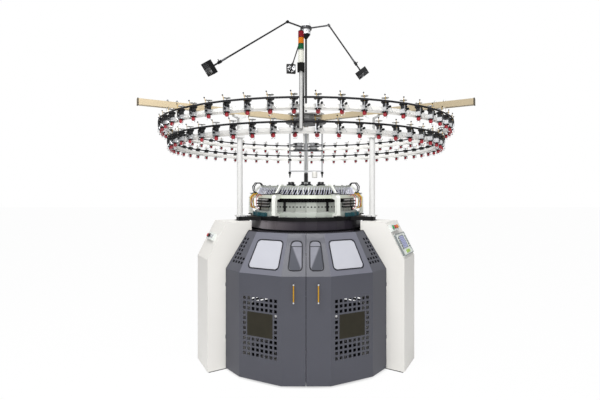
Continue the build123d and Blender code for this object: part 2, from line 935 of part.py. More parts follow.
def feeder_bodies():
    """Feeder housings clamped to the outside of the rings."""
    bodies = []
    for radius, height in rings():
        inner = feeder_inner(radius)
        for angle in feeder_angles():
            body = outward_box(feeder_width, inner, inner + feeder_depth, height - feeder_down, height + feeder_up)
            bodies.append(turned(angle, body))
    return group(bodies)


def feeder_rounds(sides, piece_radius, low_offset, high_offset, out):
    """One flat-sided round on every feeder, such as its pulley or its drum."""
    rounds = []
    for radius, height in rings():
        middle = feeder_inner(radius) + out
        for angle in feeder_angles():
            piece = turned(90, prism(sides, piece_radius, height + low_offset, height + high_offset))
            rounds.append(turned(angle, Pos(0, -middle, 0) * piece))
    return group(rounds)


def ring_band(sides, radius, low, high, sheet):
    """A thin upright band round the axis, measured to the inside of its flats."""
    corner = radius / cos(radians(180 / sides))
    return faceted_ring(sides, corner + sheet, corner, low, high)


def feeder_belts():
    """Toothed belts that run round the outside of the feeder pulleys."""
    bands = []
    for radius, height in rings():
        outside = feeder_inner(radius) + feeder_depth / 2 + feeder_pulley_radius
        flat = outside * cos(radians(180 / ring_facets))
        low = height + feeder_up + 1
        bands.append(ring_band(ring_facets, flat, low, low + belt_height, belt_sheet))
    return group(bands)


def yarn_rails():
    """Steel bands below the rings that the yarns run over."""
    return group(
        [
            ring_band(
                ring_facets // 2,
                radius - ring_bar / 2,
                height - ring_bar / 2 - rail_height,
                height - ring_bar / 2,
                rail_sheet,
            )
            for radius, height in rings()
        ]
    )


# Belt drive below the hub


def belt_drive_frame():
    """Two hanging rods with two crossbars; the upper one carries the pulley spindles."""
    hub_bottom = arm_bottom - arm_hub_sheet
    frame = box(-drive_rod_middle, drive_rod_middle, -drive_bar_width / 2, drive_bar_width / 2, drive_bar_high,
                drive_bar_high + drive_bar_thickness)
    frame += box(-drive_rod_middle, drive_rod_middle, -drive_bar_width / 2, drive_bar_width / 2, drive_bar_low,
                 drive_bar_low + drive_bar_thickness)
    for side in (-1, 1):
        frame += prism(8, drive_rod_radius, drive_bar_low, hub_bottom, side * drive_rod_middle)
        frame += rod(
            spindle_radius,
            drive_bar_high,
            drive_bar_high + drive_bar_thickness + quality_pulley_height + 8,
            side * quality_pulley_middle,
        )
    return frame - rod(shaft_radius + running_gap, drive_bar_low - 1, drive_bar_high + drive_bar_thickness + 1)


def quality_pulley(side):
    """Adjustable pulley of the feeder drive: three stacked discs on a core."""
    low = drive_bar_high + drive_bar_thickness + seat_gap
    high = low + quality_pulley_height
    x = side * quality_pulley_middle
    pulley = prism(16, quality_pulley_radius * 0.7, low, high, x)
    for start, end in ((0.0, 0.12), (0.44, 0.56), (0.88, 1.0)):
        disc_low = low + start * quality_pulley_height
        disc_high = low + end * quality_pulley_height
        pulley += prism(16, quality_pulley_radius, disc_low, disc_high, x)
    return pulley - rod(spindle_radius + running_gap, low - 1, high + 1, x)


# Signal tower


def signal_pole():
    """Pole with a clamp block to each feeder ring."""
    pole = prism(10, tower_pole_radius, tower_pole_low, tower_box_low, tower_across, -tower_out)
    for ring, height, reach in (
        (upper_ring(), upper_ring_height, upper_ring_radius),
        (lower_ring(), lower_ring_height, lower_ring_radius),
    ):
        near, far = sorted((tower_out, reach))
        lug = box(tower_across - 10, tower_across + 10, -far, -near, height - 9, height + 9)
        pole += lug - ring
    return pole


def signal_tower():
    """Terminal box, lamp base and the three lamps, stacked on the pole."""
    half = tower_box_width / 2
    stack = [
        box(-half, half, -half, half, tower_box_low, tower_box_high),
        prism(12, tower_lamp_radius, tower_box_high, tower_base_high),
    ]
    for index in range(3):
        low = tower_base_high + index * tower_lamp_height
        stack.append(prism(12, tower_lamp_radius, low, low + tower_lamp_height))
    return group([Pos(tower_across, -tower_out, 0) * piece for piece in stack])


# Rotating fans


def fan_mast():
    """Mast on the hub with the motor cone below the rotating head."""
    mast = prism(10, mast_radius, arm_top + arm_hub_sheet, cone_low)
    mast += rod(mast_radius - 1, cone_low, mast_top)
    mast += prism(12, 2 * mast_radius, arm_top + arm_hub_sheet, arm_top + arm_hub_sheet + 30)
    cone = loft([
        Pos(0, 0, cone_low) * RegularPolygon(mast_radius + 4, 12),
        Pos(0, 0, cone_high - seat_gap) * RegularPolygon(fan_hub_radius, 12),
    ], ruled=True)
    return mast + cone


def fan_hub():
    """Rotating head with three short arms, each ending in a lug with a bore for its elbow pin."""
    hub = prism(16, fan_hub_radius, cone_high, fan_band_low)
    hub += prism(16, fan_band_radius, fan_band_low, fan_band_high)
    hub += Pos(0, 0, fan_band_high) * extrude(
        RegularPolygon(fan_cap_radius + 6, 16), fan_cap_high - fan_band_high, taper=20
    )
    tube_end = elbow_radius - elbow_lug_radius - 2
    for _, angle, _, _ in fan_places:
        arm = Pos(0, -tube_end / 2, elbow_height) * across_bar(8, short_arm_radius, tube_end)
        arm += elbow_lug(-1 - elbow_lug_thickness / 2)
        arm += box(
            -short_arm_radius, -1, -elbow_radius, -tube_end + 4, elbow_height - 7, elbow_height + 7
        )
        arm -= elbow_bar(elbow_pin_radius + running_gap, -elbow_lug_thickness - 2, 0)
        hub += turned(angle, arm)
    return hub - rod(mast_radius - 1 + running_gap, cone_high - 1, mast_top + 1)


def elbow_lug(x):
    """One of the two flat-sided lugs of an elbow, in the elbow's place and with its middle at x."""
    lug = extrude(Plane.YZ * RegularPolygon(elbow_lug_radius, 12), elbow_lug_thickness / 2, both=True)
    return Pos(x, -elbow_radius, elbow_height) * lug


def elbow_bar(radius, x_low, x_high):
    """A round bar along an elbow's axis, between two places across it."""
    length = x_high - x_low
    bar = Cylinder(radius, length, rotation=(0, 90, 0))
    return Pos((x_low + x_high) / 2, -elbow_radius, elbow_height) * bar


def arm_direction(fan_radius, fan_height):
    """Length and downward angle of a long arm from its elbow to the fan."""
    out = fan_radius - elbow_radius
    down = elbow_height - fan_height
    return hypot(out, down), degrees(atan2(down, out))


def along_arm(fan_radius, fan_height, shape):
    """A shape drawn along -Y from the elbow, tilted down the arm."""
    _, droop = arm_direction(fan_radius, fan_height)
    return Pos(0, -elbow_radius, elbow_height) * (Rot(droop, 0, 0) * shape)


def fan_arm(angle, fan_radius, fan_height):
    """Long arm with its elbow lug and pin, and the square frame of the fan at its end."""
    length, _ = arm_direction(fan_radius, fan_height)
    tube_x = 1 + elbow_lug_thickness / 2
    arm = Pos(tube_x, elbow_radius, -elbow_height) * elbow_lug(0)
    arm += Cylinder(elbow_pin_radius, 2 * elbow_lug_thickness + 4, rotation=(0, 90, 0))
    tube_start = elbow_lug_radius - 3
    tube_end = length - fan_depth / 2 + 4
    tube = across_bar(8, long_arm_radius, tube_end - tube_start)
    arm += Pos(tube_x, -(tube_start + tube_end) / 2, 0) * tube
    frame = Rectangle(fan_size, fan_size) - RegularPolygon(fan_bore, 16)
    frame_plane = Plane(origin=(tube_x, -length - fan_depth / 2, 0), x_dir=(1, 0, 0), z_dir=(0, 1, 0))
    arm += extrude(frame_plane * frame, fan_depth)
    back = Plane(origin=(tube_x, -length + fan_depth / 2, 0), x_dir=(1, 0, 0), z_dir=(0, -1, 0))
    spider = RegularPolygon(fan_core_radius, 8)
    for turn in (45, 135):
        spider += Rot(0, 0, turn) * Rectangle(2 * fan_bore + 4, 7)
    arm += extrude(back * spider, 6)
    arm += Pos(tube_x, -length + fan_depth / 2 - 12, 0) * Cylinder(3, 24, rotation=(90, 0, 0))
    return turned(angle, along_arm(fan_radius, fan_height, arm))


def fan_rotor(angle, fan_radius, fan_height):
    """Fan wheel with pitched blades, on the pin of its frame."""
    length, _ = arm_direction(fan_radius, fan_height)
    tube_x = 1 + elbow_lug_thickness / 2
    back = -length + fan_depth / 2 - 6 - seat_gap
    depth = 20.0
    rotor = Pos(0, back - depth / 2, 0) * extrude(
        Plane.XZ * RegularPolygon(fan_core_radius, 8), depth / 2, both=True
    )
    for index in range(fan_blades):
        blade = Pos(fan_bore / 2 + 5, 0, 0) * (Rot(35, 0, 0) * Box(fan_bore - 16, 2, 24))
        rotor += Pos(0, back - depth / 2, 0) * (Rot(0, index * 360 / fan_blades, 0) * blade)
    rotor -= Pos(0, back - depth / 2, 0) * Cylinder(3 + running_gap, depth + 2, rotation=(90, 0, 0))
    return turned(angle, along_arm(fan_radius, fan_height, Pos(tube_x, 0, 0) * rotor))


# Controls on the legs


def cover_slope_plane(up):
    """Drawing plane on the slope of a leg cover that faces the operator, at a distance up the slope."""
    lean = radians(cover_lean)
    return Plane(
        origin=(0, -cover_outer + up * sin(lean), cover_knee + up * cos(lean)),
        x_dir=(1, 0, 0),
        z_dir=(0, -cos(lean), sin(lean)),
    )


def button_plate(angle, up, middle, width, places):
    """Box with a well for each push button."""
    plate = Pos(middle, 0) * Rectangle(width, button_plate_height)
    plane = cover_slope_plane(up)
    shape = extrude(plane * plate, button_plate_depth)
    well = Plane(plane.origin + plane.z_dir * 6, x_dir=plane.x_dir, z_dir=plane.z_dir)
    for across in places:
        shape -= extrude(well * (Pos(across, 0) * RegularPolygon(button_radius + seat_gap, 12)), button_plate_depth)
    return turned(angle, shape)


def button(angle, up, across):
    """A round push button standing in its well, with room below it for its travel."""
    plane = cover_slope_plane(up)
    low = Plane(
        plane.origin + plane.z_dir * (6 + button_travel + seat_gap), x_dir=plane.x_dir, z_dir=plane.z_dir
    )
    height = button_plate_depth - 6 - button_travel - seat_gap + button_rise
    return turned(angle, extrude(low * (Pos(across, 0) * RegularPolygon(button_radius, 12)), height))


def control_panel():
    """Operator panel on the right leg: a shallow housing with its screen and key fields as steps."""
    plane = cover_slope_plane(panel_up)
    panel = extrude(plane * Rectangle(panel_width, panel_height), panel_depth)
    face = Plane(plane.origin + plane.z_dir * panel_depth, x_dir=plane.x_dir, z_dir=plane.z_dir)
    panel -= extrude(face * (Pos(0, 18) * Rectangle(130, 110)), -2)
    panel += extrude(face * (Pos(0, -70) * Rectangle(110, 26)), 2)
    for side in (-1, 1):
        panel += extrude(face * (Pos(side * 95, 10) * Rectangle(28, 120)), 2)
    return turned(60, panel)


os.makedirs("parts", exist_ok=True)

save("base_frame", base_frame())
save("leg_cover_left", leg_cover(-60, (1,)))
save("leg_cover_right", leg_cover(60, (-1,)))
save("leg_cover_rear", leg_cover(180, ()))
save("bed_plate", bed_plate())
save("skirt_ring", skirt_ring())
save("left_door", door(-1))
save("right_door", door(1))
save("left_door_panes", door_panes(-1))
save("right_door_panes", door_panes(1))
save("left_door_handle", door_handle(-1))
save("right_door_handle", door_handle(1))
save("rear_guards", group([rear_guard(angle) for angle in gate_angles[1:]]))
save("guard_panes", group([piece for angle in gate_angles[1:] for piece in guard_panes(angle)]))

save("needle_cylinder", needle_cylinder())
save("dial", dial())
save("dial_cap", dial_cap())
save("cam_base_ring", faceted_ring(ring_sides, base_ring_radius, head_bore, bed_top, cam_box_bottom))
save("cam_boxes", cam_boxes())
save("cam_cover_ring", faceted_ring(ring_sides, black_ring_radius, head_bore, black_ring_bottom,
                                    guide_ring_bottom))
save("guide_ring", faceted_ring(ring_sides, guide_ring_radius, guide_ring_inner, guide_ring_bottom,
                                guide_ring_top))
save("ring_brackets", group([ring_bracket(angle) for angle in bracket_angles]))
guide_step = 360 / guide_count
save("yarn_guides", group([yarn_guide((index + 0.5) * guide_step) for index in range(guide_count)]))

save("take_down_frame", take_down_frame())
save("take_down_roller", roller(roller_radius, roller_spacing / 2, roller_height))
save("press_roller", roller(roller_radius, -roller_spacing / 2, roller_height))
save("cloth_bar", roller(cloth_bar_radius, 0, cloth_bar_height))
save("drive_motor", drive_motor())
save("drive_shaft", drive_shaft())

post = prism(post_sides, post_radius, bed_top, post_top, 0, -post_circle)
save("ring_posts", group([turned(angle, post) for angle in leg_angles]))
save("post_clamps", group([piece for angle in leg_angles for piece in post_clamp(angle)]))
save("ring_arms", group([ring_arm(angle) for angle in leg_angles]))
save("arm_hub", arm_hub())
save("upper_ring", upper_ring())
save("lower_ring", lower_ring())
save("feeder_bodies", feeder_bodies())
save("feeder_pulleys", feeder_rounds(6, feeder_pulley_radius, feeder_up, feeder_up + feeder_pulley_height,
                                     feeder_depth / 2))
save("feeder_drums", feeder_rounds(4, feeder_drum_radius, -feeder_down - feeder_drum_height, -feeder_down,
                                   feeder_depth / 2))
save("feeder_belts", feeder_belts())
save("yarn_rails", yarn_rails())
save("belt_drive_frame", belt_drive_frame())
save("drive_pulley_left", quality_pulley(-1))
save("drive_pulley_right", quality_pulley(1))
save("signal_pole", signal_pole())
save("signal_tower", signal_tower())

save("fan_mast", fan_mast())
save("fan_hub", fan_hub())
for name, angle, fan_radius, fan_height in fan_places:
    save(f"fan_arm_{name}", fan_arm(angle, fan_radius, fan_height))
    save(f"fan_rotor_{name}", fan_rotor(angle, fan_radius, fan_height))

left_box = button_plate(-60, left_plate_up, 0, left_plate_width, left_button_places)
right_box = button_plate(60, right_plate_up, right_button_places[1], right_plate_width, right_button_places)
save("button_boxes", group([left_box, right_box]))
save("control_panel", control_panel())
for name, across in zip(("left_stop_button", "left_start_button"), left_button_places):
    save(name, button(-60, left_plate_up, across))
for name, across in zip(("right_start_button", "right_stop_button", "right_jog_button"), right_button_places):
    save(name, button(60, right_plate_up, across))
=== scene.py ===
# %% [markdown]
# # Circular knitting machine: the looks
# This script dresses a finished construction model. It gives every piece a surface made of nodes, adds
# the small parts that are too fine for the construction, and sets up a studio picture of the machine.
# Lengths are in metres, +Z is up, and the needle cylinder's axis stands at the origin.

import math

import bpy
from mathutils import Matrix, Vector


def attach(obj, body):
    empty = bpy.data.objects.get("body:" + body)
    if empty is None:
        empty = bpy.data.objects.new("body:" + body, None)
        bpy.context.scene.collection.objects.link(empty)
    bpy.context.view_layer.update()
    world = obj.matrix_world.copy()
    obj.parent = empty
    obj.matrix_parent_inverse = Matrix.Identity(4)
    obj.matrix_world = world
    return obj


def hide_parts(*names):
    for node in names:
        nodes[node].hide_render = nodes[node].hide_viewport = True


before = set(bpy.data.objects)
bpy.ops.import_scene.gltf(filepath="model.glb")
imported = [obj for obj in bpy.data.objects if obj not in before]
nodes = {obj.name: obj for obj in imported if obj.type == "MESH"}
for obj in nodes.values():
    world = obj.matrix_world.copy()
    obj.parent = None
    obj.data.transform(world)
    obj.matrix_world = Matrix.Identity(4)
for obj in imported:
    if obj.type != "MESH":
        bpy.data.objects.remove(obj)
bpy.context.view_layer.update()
loaded = len(bpy.data.materials)
print("pieces in the construction:", len(nodes))

# %% [markdown]
# ## Colours and surfaces
# A colour is written as the hex value seen on a screen and turned into linear light. Every surface is
# built the same way: two tones mixed by a soft noise, a roughness that varies a little, and a fine bump.
# The size of each pattern is given in real millimetres. Images could be wrapped round the pieces instead,
# but nodes need no unwrapping, and their patterns keep one scale on small and large pieces.

# %% Colour and node helpers
MM_PER_METRE = 1000
PATCH_DETAIL, GRAIN_DETAIL = 3.0, 2.0
BAND_MARGIN = 0.5  # metres that a colour ramp reaches past its outer edges
NOISE_SHARE = 0.06  # share of the noise tones that stays in a banded surface


def linear(hex_colour):
    """Linear red, green, blue and alpha of a screen colour."""
    channels = [int(hex_colour[i : i + 2], 16) / 255 for i in (1, 3, 5)]
    return [c / 12.92 if c <= 0.04045 else ((c + 0.055) / 1.055) ** 2.4 for c in channels] + [1.0]


def add(tree, kind, links=None, **settings):
    """Add a shader node, set its properties, and link its inputs or give them values."""
    node = tree.nodes.new("ShaderNode" + kind)
    for name, value in settings.items():
        setattr(node, name, value)
    for name, value in (links or {}).items():
        socket = node.inputs[name]
        if isinstance(value, bpy.types.NodeSocket):
            tree.links.new(value, socket)
        else:
            socket.default_value = value
    return node


def calc(tree, operation, *values):
    """Result of a math node."""
    return add(tree, "Math", dict(enumerate(values)), operation=operation).outputs[0]


def remap(tree, value, low=0.0, high=1.0, to_low=0.0, to_high=1.0):
    """A value mapped from one range to another, and kept inside the second."""
    return add(tree, "MapRange", {
        "Value": value, "From Min": low, "From Max": high, "To Min": to_low, "To Max": to_high}).outputs["Result"]


def axes(tree, kind="Object"):
    """X, Y and Z of a place on the piece, or of its face's own direction, which turns with the piece."""
    source = add(tree, "TexCoord").outputs[kind]
    return add(tree, "SeparateXYZ", {"Vector": source}).outputs


def surface(name, tone, second, patch_mm=60, rough=0.5, rough_spread=0.08, metallic=0.0, bump_mm=0.0,
            bump_size_mm=2.0, stretch=(1, 1, 1), coat=0.0, emission=0.0, shine=0.5):
    """A material of two tones in soft patches, with a fine bump."""
    material = bpy.data.materials.new(name)
    material.use_nodes = True
    tree = material.node_tree
    shader = tree.nodes["Principled BSDF"]
    place = add(tree, "TexCoord").outputs["Object"]
    place = add(tree, "Mapping", {"Vector": place, "Scale": stretch}).outputs["Vector"]
    patches = add(tree, "TexNoise", {
        "Vector": place, "Scale": MM_PER_METRE / patch_mm, "Detail": PATCH_DETAIL}).outputs["Fac"]
    tones = add(tree, "Mix", {0: patches, "A": linear(tone), "B": linear(second)}, data_type="RGBA")
    tree.links.new(tones.outputs["Result"], shader.inputs["Base Color"])
    spread = remap(tree, patches, to_low=rough - rough_spread, to_high=rough + rough_spread)
    tree.links.new(spread, shader.inputs["Roughness"])
    shader.inputs["Metallic"].default_value = metallic
    shader.inputs["Coat Weight"].default_value = coat
    shader.inputs["Specular IOR Level"].default_value = shine
    if bump_mm:
        grain = add(tree, "TexNoise", {
            "Vector": place, "Scale": MM_PER_METRE / bump_size_mm, "Detail": GRAIN_DETAIL})
        bump = add(tree, "Bump", {"Height": grain.outputs["Fac"], "Distance": bump_mm / MM_PER_METRE})
        tree.links.new(bump.outputs["Normal"], shader.inputs["Normal"])
    if emission:
        tree.links.new(tones.outputs["Result"], shader.inputs["Emission Color"])
        shader.inputs["Emission Strength"].default_value = emission
    return material


def base_colour(material):
    """The shader's colour input and the output that feeds it."""
    socket = material.node_tree.nodes["Principled BSDF"].inputs["Base Color"]
    return socket, socket.links[0].from_socket


def bands(material, edges, colours, axis="Z", smooth=False):
    """Recolour a material along an axis, with one more colour than there are edges (metres).

    Each band is plain, or with smooth the colours blend from edge to edge.
    """
    tree = material.node_tree
    low, high = edges[0] - BAND_MARGIN, edges[-1] + BAND_MARGIN
    ramp = add(tree, "ValToRGB", {"Fac": remap(tree, axes(tree)[axis], low, high)})
    ramp.color_ramp.interpolation = "LINEAR" if smooth else "CONSTANT"
    stops = ramp.color_ramp.elements
    stops.remove(stops[1])
    stops[0].position = 0.0
    stops[0].color = linear(colours[0])
    for edge, colour in zip(edges, colours[1:]):
        stops.new((edge - low) / (high - low)).color = linear(colour)
    socket, old = base_colour(material)
    mixed = add(tree, "Mix", {0: NOISE_SHARE, "A": ramp.outputs["Color"], "B": old}, data_type="RGBA")
    tree.links.new(mixed.outputs["Result"], socket)
    return material


def recolour(material, mask, tone):
    """Give another tone to the places of a mask."""
    socket, old = base_colour(material)
    mixed = add(material.node_tree, "MixRGB", {"Fac": mask, "Color1": old, "Color2": linear(tone)})
    material.node_tree.links.new(mixed.outputs["Color"], socket)


print("screen grey #808080 in linear light:", round(linear("#808080")[0], 3))

# %% [markdown]
# ## Small shapes
# Fine parts are made of simple shapes: boxes, bars along a path and turned profiles. A shape is a pair of
# lists, its corners and its faces. It is drawn facing the operator and then turned round the axis.
# Curves and modifiers could make them too. Lists were chosen, because one object then holds hundreds of
# parts that share a surface and a body.

# %% Shape helpers
SHARP_ANGLE = math.radians(35)
BALL_ROWS, POLE = 6, 0.02  # rows of a ball, and the size of its pole's flat


def cosine(degrees):
    """Cosine of an angle in degrees."""
    return math.cos(math.radians(degrees))


def sine(degrees):
    """Sine of an angle in degrees."""
    return math.sin(math.radians(degrees))


def turn_about(axis, degrees):
    """Matrix of a turn about an axis through the origin."""
    return Matrix.Rotation(math.radians(degrees), 4, axis)


def circle(radius, steps, x=0.0, y=0.0):
    """Points of a circle in a plane."""
    turns = [2 * math.pi * step / steps for step in range(steps)]
    return [Vector((x + radius * math.cos(turn), y + radius * math.sin(turn))) for turn in turns]


def walls(rows, sides, closed=False):
    """Faces between neighbouring rows of corners; closed joins the last row to the first."""
    faces = []
    for row in range(rows if closed else rows - 1):
        low, high = row * sides, (row + 1) % rows * sides
        for step in range(sides):
            after = (step + 1) % sides
            faces.append((low + step, low + after, high + after, high + step))
    return faces


def solid(corners, sides):
    """Rows of corners closed by walls and two end faces."""
    count = len(corners)
    ends = [tuple(reversed(range(sides))), tuple(range(count - sides, count))]
    return corners, walls(count // sides, sides) + ends


def block(x_low, x_high, y_low, y_high, z_low, z_high):
    """A box as corners and faces."""
    corners = [Vector((x, y, z)) for z in (z_low, z_high) for y in (y_low, y_high) for x in (x_low, x_high)]
    faces = [(0, 2, 3, 1), (4, 5, 7, 6), (0, 1, 5, 4), (2, 6, 7, 3), (0, 4, 6, 2), (1, 3, 7, 5)]
    return corners, faces


def turned(profile, sides=16, place=(0, 0, 0)):
    """A closed solid turned round an upright axis, from (radius, height) points listed upwards."""
    x, y, lift = place
    return solid([point.to_3d() + Vector((0, 0, lift + height))
                  for radius, height in profile for point in circle(radius, sides, x, y)], sides)


def pin(x, z, near, far, radius, sides=10):
    """A short round bar along Y, between two distances out from the axis."""
    return solid([Vector((point.x, -out, point.y)) for out in (near, far) for point in circle(radius, sides, x, z)],
                 sides)


def ball(radius, middle, sides):
    """A ball turned of a few rows, with small flats at its poles."""
    turns = [math.pi * row / BALL_ROWS for row in range(BALL_ROWS + 1)]
    return turned([(max(math.sin(turn), POLE) * radius, -math.cos(turn) * radius) for turn in turns],
                  sides, middle)


def bar(points, radius, sides=8, closed=False):
    """A round bar that follows a path of points."""
    points = [Vector(p) for p in points]
    corners = []
    side = None
    for index, point in enumerate(points):
        before = points[index - 1] if index or closed else point
        after = points[(index + 1) % len(points)] if index < len(points) - 1 or closed else point
        along = (after - before).normalized()
        if side is None:
            side = along.orthogonal().normalized()
        side = (side - along * side.dot(along)).normalized()
        other = along.cross(side)
        corners += [point + spoke.x * side + spoke.y * other for spoke in circle(radius, sides)]
    return (corners, walls(len(points), sides, True)) if closed else solid(corners, sides)


def hoop(radius, wire, middle=(0, 0, 0), tilt=(0, 0), steps=16, sides=6):
    """A wire ring, flat on the ground before it is tilted about X and turned about Z (degrees)."""
    turn = turn_about("Z", tilt[1]) @ turn_about("X", tilt[0])
    return bar([Vector(middle) + turn @ point.to_3d() for point in circle(radius, steps)], wire, sides, closed=True)


def moved(shape, matrix):
    """A shape moved by a matrix."""
    return [matrix @ corner for corner in shape[0]], shape[1]


def placed(shape, angle):
    """A shape turned round the machine's axis, in degrees."""
    return moved(shape, turn_about("Z", angle))


def around(shape, count, start=0.0):
    """Copies of a shape at equal angles round the machine's axis."""
    return [placed(shape, start + index * 360 / count) for index in range(count)]


def on_facing(place, out_tilt, angle, shapes):
    """Shapes drawn on a flat face, x across, z up the face and -y out of it, put on the machine's face."""
    matrix = turn_about("Z", angle) @ Matrix.Translation(place) @ turn_about("X", -out_tilt)
    return [moved(shape, matrix) for shape in shapes]


def on_legs(shape):
    """Copies of a shape at the three legs and arms."""
    return around(shape, 3, -60)


def both_sides(shape, angles):
    """Copies of a shape at angles to the left and to the right."""
    return [placed(shape, side * angle) for side in (-1, 1) for angle in angles]


def bolt(profile, x, out):
    """An eight-sided bolt head on an upright axis, at a distance out from the machine's axis."""
    return turned(profile, 8, (x, -out, 0))


def in_scene(name, data):
    """A new object in the scene."""
    obj = bpy.data.objects.new(name, data)
    bpy.context.scene.collection.objects.link(obj)
    return obj


def piece(name, shapes, material, body="frame"):
    """Make one object of several shapes that moves with a body."""
    corners, faces = [], []
    for shape_corners, shape_faces in shapes:
        start = len(corners)
        corners += [tuple(corner) for corner in shape_corners]
        faces += [tuple(start + index for index in face) for face in shape_faces]
    mesh = bpy.data.meshes.new(name)
    mesh.from_pydata(corners, [], faces)
    mesh.update()
    mesh.materials.append(material)
    obj = in_scene(name, mesh)
    mesh.shade_smooth()
    mesh.set_sharp_from_angle(angle=SHARP_ANGLE)
    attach(obj, body)
    return obj


print("faces of a ball with eight sides:", len(ball(1.0, (0, 0, 0), 8)[1]))

# %% [markdown]
# ## Surfaces of the machine
# The paints, steels, castings, plastics and rubbers that the construction's pieces and the small parts
# share. Each is named for what it is and how it is finished. The numbers after the two tones are the size
# of the patches (mm), the roughness and its spread, the metallic share, and the depth and size of the
# bump (mm). Real paint is nearly one tone, so the two tones lie close together.

# %% Paints and metals
slate = surface(
    "slate grey satin paint on sheet", "#45464e", "#4b4c55", 300, 0.42, 0.05, 0.0, 0.02, 1.2, coat=0.1, shine=0.3)
off_white = surface("off-white satin paint on sheet", "#e2e0dc", "#dcdad5", 300, 0.4, 0.05, 0.0, 0.03, 1.2, coat=0.1)
cast_paint = surface("dark painted casting", "#1d1e21", "#26272a", 80, 0.6, 0.08, 0.0, 0.25, 3, shine=0.2)
skirt_paint = surface(
    "brown-black gloss paint", "#241f22", "#2c2629", 250, 0.3, 0.04, 0.0, 0.02, 1.5, coat=0.1, shine=0.25)
black_paint = surface("black satin paint", "#0c0c0d", "#131315", 60, 0.42, 0.08, 0.0, 0.04, 1.5, shine=0.15)
ring_black = surface("black cover ring", "#060606", "#0b0b0c", 30, 0.5, 0.05, 0.0, 0.02, 1.0, shine=0.06)
white_paint = surface("white enamel on casting", "#e6e8e2", "#d9dcd4", 70, 0.35, 0.06, 0.0, 0.12, 3, coat=0.2)
# The posts carry the same white paint as the tubes, and their darker tone is painted shade.
post_white_shaded, tube_white = (
    surface(f"white painted {part}", tone, second, 200, 0.38, 0.05, 0.0, 0.02, 1.2, coat=0.1)
    for part, tone, second in (("post", "#cfcfce", "#d4d4d2"), ("steel tube", "#ebeae6", "#f0efec")))
motor_paint = surface("grey-blue hammered paint", "#4a5463", "#566071", 30, 0.4, 0.08, 0.2, 0.3, 4)
graphite = surface("graphite grey casting paint", "#37383c", "#424348", 60, 0.45, 0.06, 0.3, 0.06, 2.0)
ground_steel = surface("ground steel", "#c9cbc6", "#aeb1ae", 25, 0.28, 0.08, 0.85, 0.02, 0.8, stretch=(1, 1, 6))
cam_steel = surface("ground cam box steel", "#adb1aa", "#a0a49d", 90, 0.34, 0.05, 0.6)
grey_rod = surface("blackened steel rod", "#3a3b40", "#46474d", 60, 0.35, 0.06, 0.6, 0.01, 0.8)
bright_wire = surface("bright steel wire", "#d6d7d9", "#bdbfc3", 10, 0.18, 0.05, 1.0, 0.01, 0.5)
brass = surface("polished brass", "#c79a3f", "#b1842e", 25, 0.22, 0.05, 1.0, 0.01, 0.8)
satin_alloy = surface("satin aluminium", "#c4c4c2", "#b3b3b2", 60, 0.4, 0.06, 0.75, 0.02, 1.0)
grey_casting = surface("machined grey casting", "#3b3c41", "#44464b", 45, 0.5, 0.08, 0.2, 0.06, 1.5, shine=0.2)
pale_ring, grey_ring = (
    surface(f"machined {shade} alloy ring", tone, second, 40, 0.35, 0.06, 0.3, 0.02, 1.0, stretch=(1, 1, 5))
    for shade, tone, second in (("pale", "#dadfcf", "#ced2c4"), ("grey", "#bcc2ba", "#b2b8b0")))
print("paints and metals:", len(bpy.data.materials) - loaded)

# %% Plastics, rubbers and sheets
yellow_resin = surface("amber yellow moulded resin", "#c9a227", "#b48d1e", 20, 0.35, 0.05, 0.0, 0.02, 0.8, coat=0.3)
feeder_black = surface("black moulded nylon", "#101012", "#19191b", 20, 0.45, 0.08, 0.0, 0.03, 0.8, shine=0.2)
feeder_red = surface("crimson moulded nylon", "#b5202e", "#8f1626", 15, 0.35, 0.05, 0.0, 0.02, 0.8, coat=0.3)
finger_white = surface("lavender white ceramic finger", "#dcdcec", "#c9c9e2", 20, 0.3, 0.05, coat=0.3)
teal_plastic = surface("teal moulded oil distributor", "#27525a", "#1f444b", 20, 0.4, 0.05, 0.0, 0.02, 0.8, shine=0.3)
oil_yellow, oil_red, oil_blue = (
    surface(f"{colour} polyurethane oil tube", tone, second, 30, 0.25, 0.05, coat=0.3)
    for colour, tone, second in (
        ("yellow", "#d8b21f", "#c69f16"), ("red", "#b3262b", "#9c1d22"), ("blue", "#2b5fa8", "#234f8e")))
hose_black = surface("black rubber hose", "#0d0d0e", "#151516", 30, 0.45, 0.06, 0.0, 0.02, 1.0, shine=0.2)
belt_rubber = surface("black toothed belt", "#1a1a1c", "#232326", 20, 0.6, 0.06, 0.0, 0.2, 5, shine=0.2)
roller_rubber = surface("grooved black roller rubber", "#161617", "#1e1e20", 20, 0.6, 0.06, 0.0, 0.4, 3, shine=0.2)
seal_rubber = surface("black window gasket", "#1d1d22", "#24242a", 30, 0.6, 0.06, 0.0, 0.02, 1.0, shine=0.2)
# Black sheet used as painted shade: behind the vents for the dark inside, at the skirt's foot for the gap.
shade_black = surface("black sheet for painted shade", "#0b0b0e", "#131317", 30, 0.8, 0.05, 0.0, 0.05, 2.0, shine=0.1)
control_grey = surface("light grey moulded housing", "#dfe4e0", "#d4d9d5", 60, 0.45, 0.05, 0.0, 0.05, 1.0)
bezel_grey = surface("pale grey moulded bezel", "#7f8585", "#737979", 40, 0.4, 0.05, 0.0, 0.02, 1.0)
row_grey = surface("dark grey display row", "#484c52", "#53575d", 40, 0.45, 0.05, 0.0, 0.03, 1.0, shine=0.25)
screen_glow = surface("lit lavender display", "#8b90b8", "#9a9fc6", 40, 0.25, 0.04, coat=0.3, emission=0.2)
key_green = surface("lime membrane key", "#a9c766", "#9cba5a", 15, 0.4, 0.04, 0.0, 0.01, 0.8)
red_plastic, green_plastic, amber_plastic = (
    surface(f"{colour} moulded button", tone, second, 20, 0.3, 0.04, 0.0, 0.01, 0.8, coat=0.3)
    for colour, tone, second in (
        ("red", "#c81e1e", "#b01616"), ("green", "#1f9a4b", "#178040"), ("amber", "#e08a1c", "#c97712")))
# The clear sheets are drawn opaque, and their pale tone is a painted reflection of the bright studio.
pane_clear = surface("opaque clear sheet with a painted reflection", "#b2b3ba", "#abacb4", 120, 0.3, 0.05, shine=0.3)
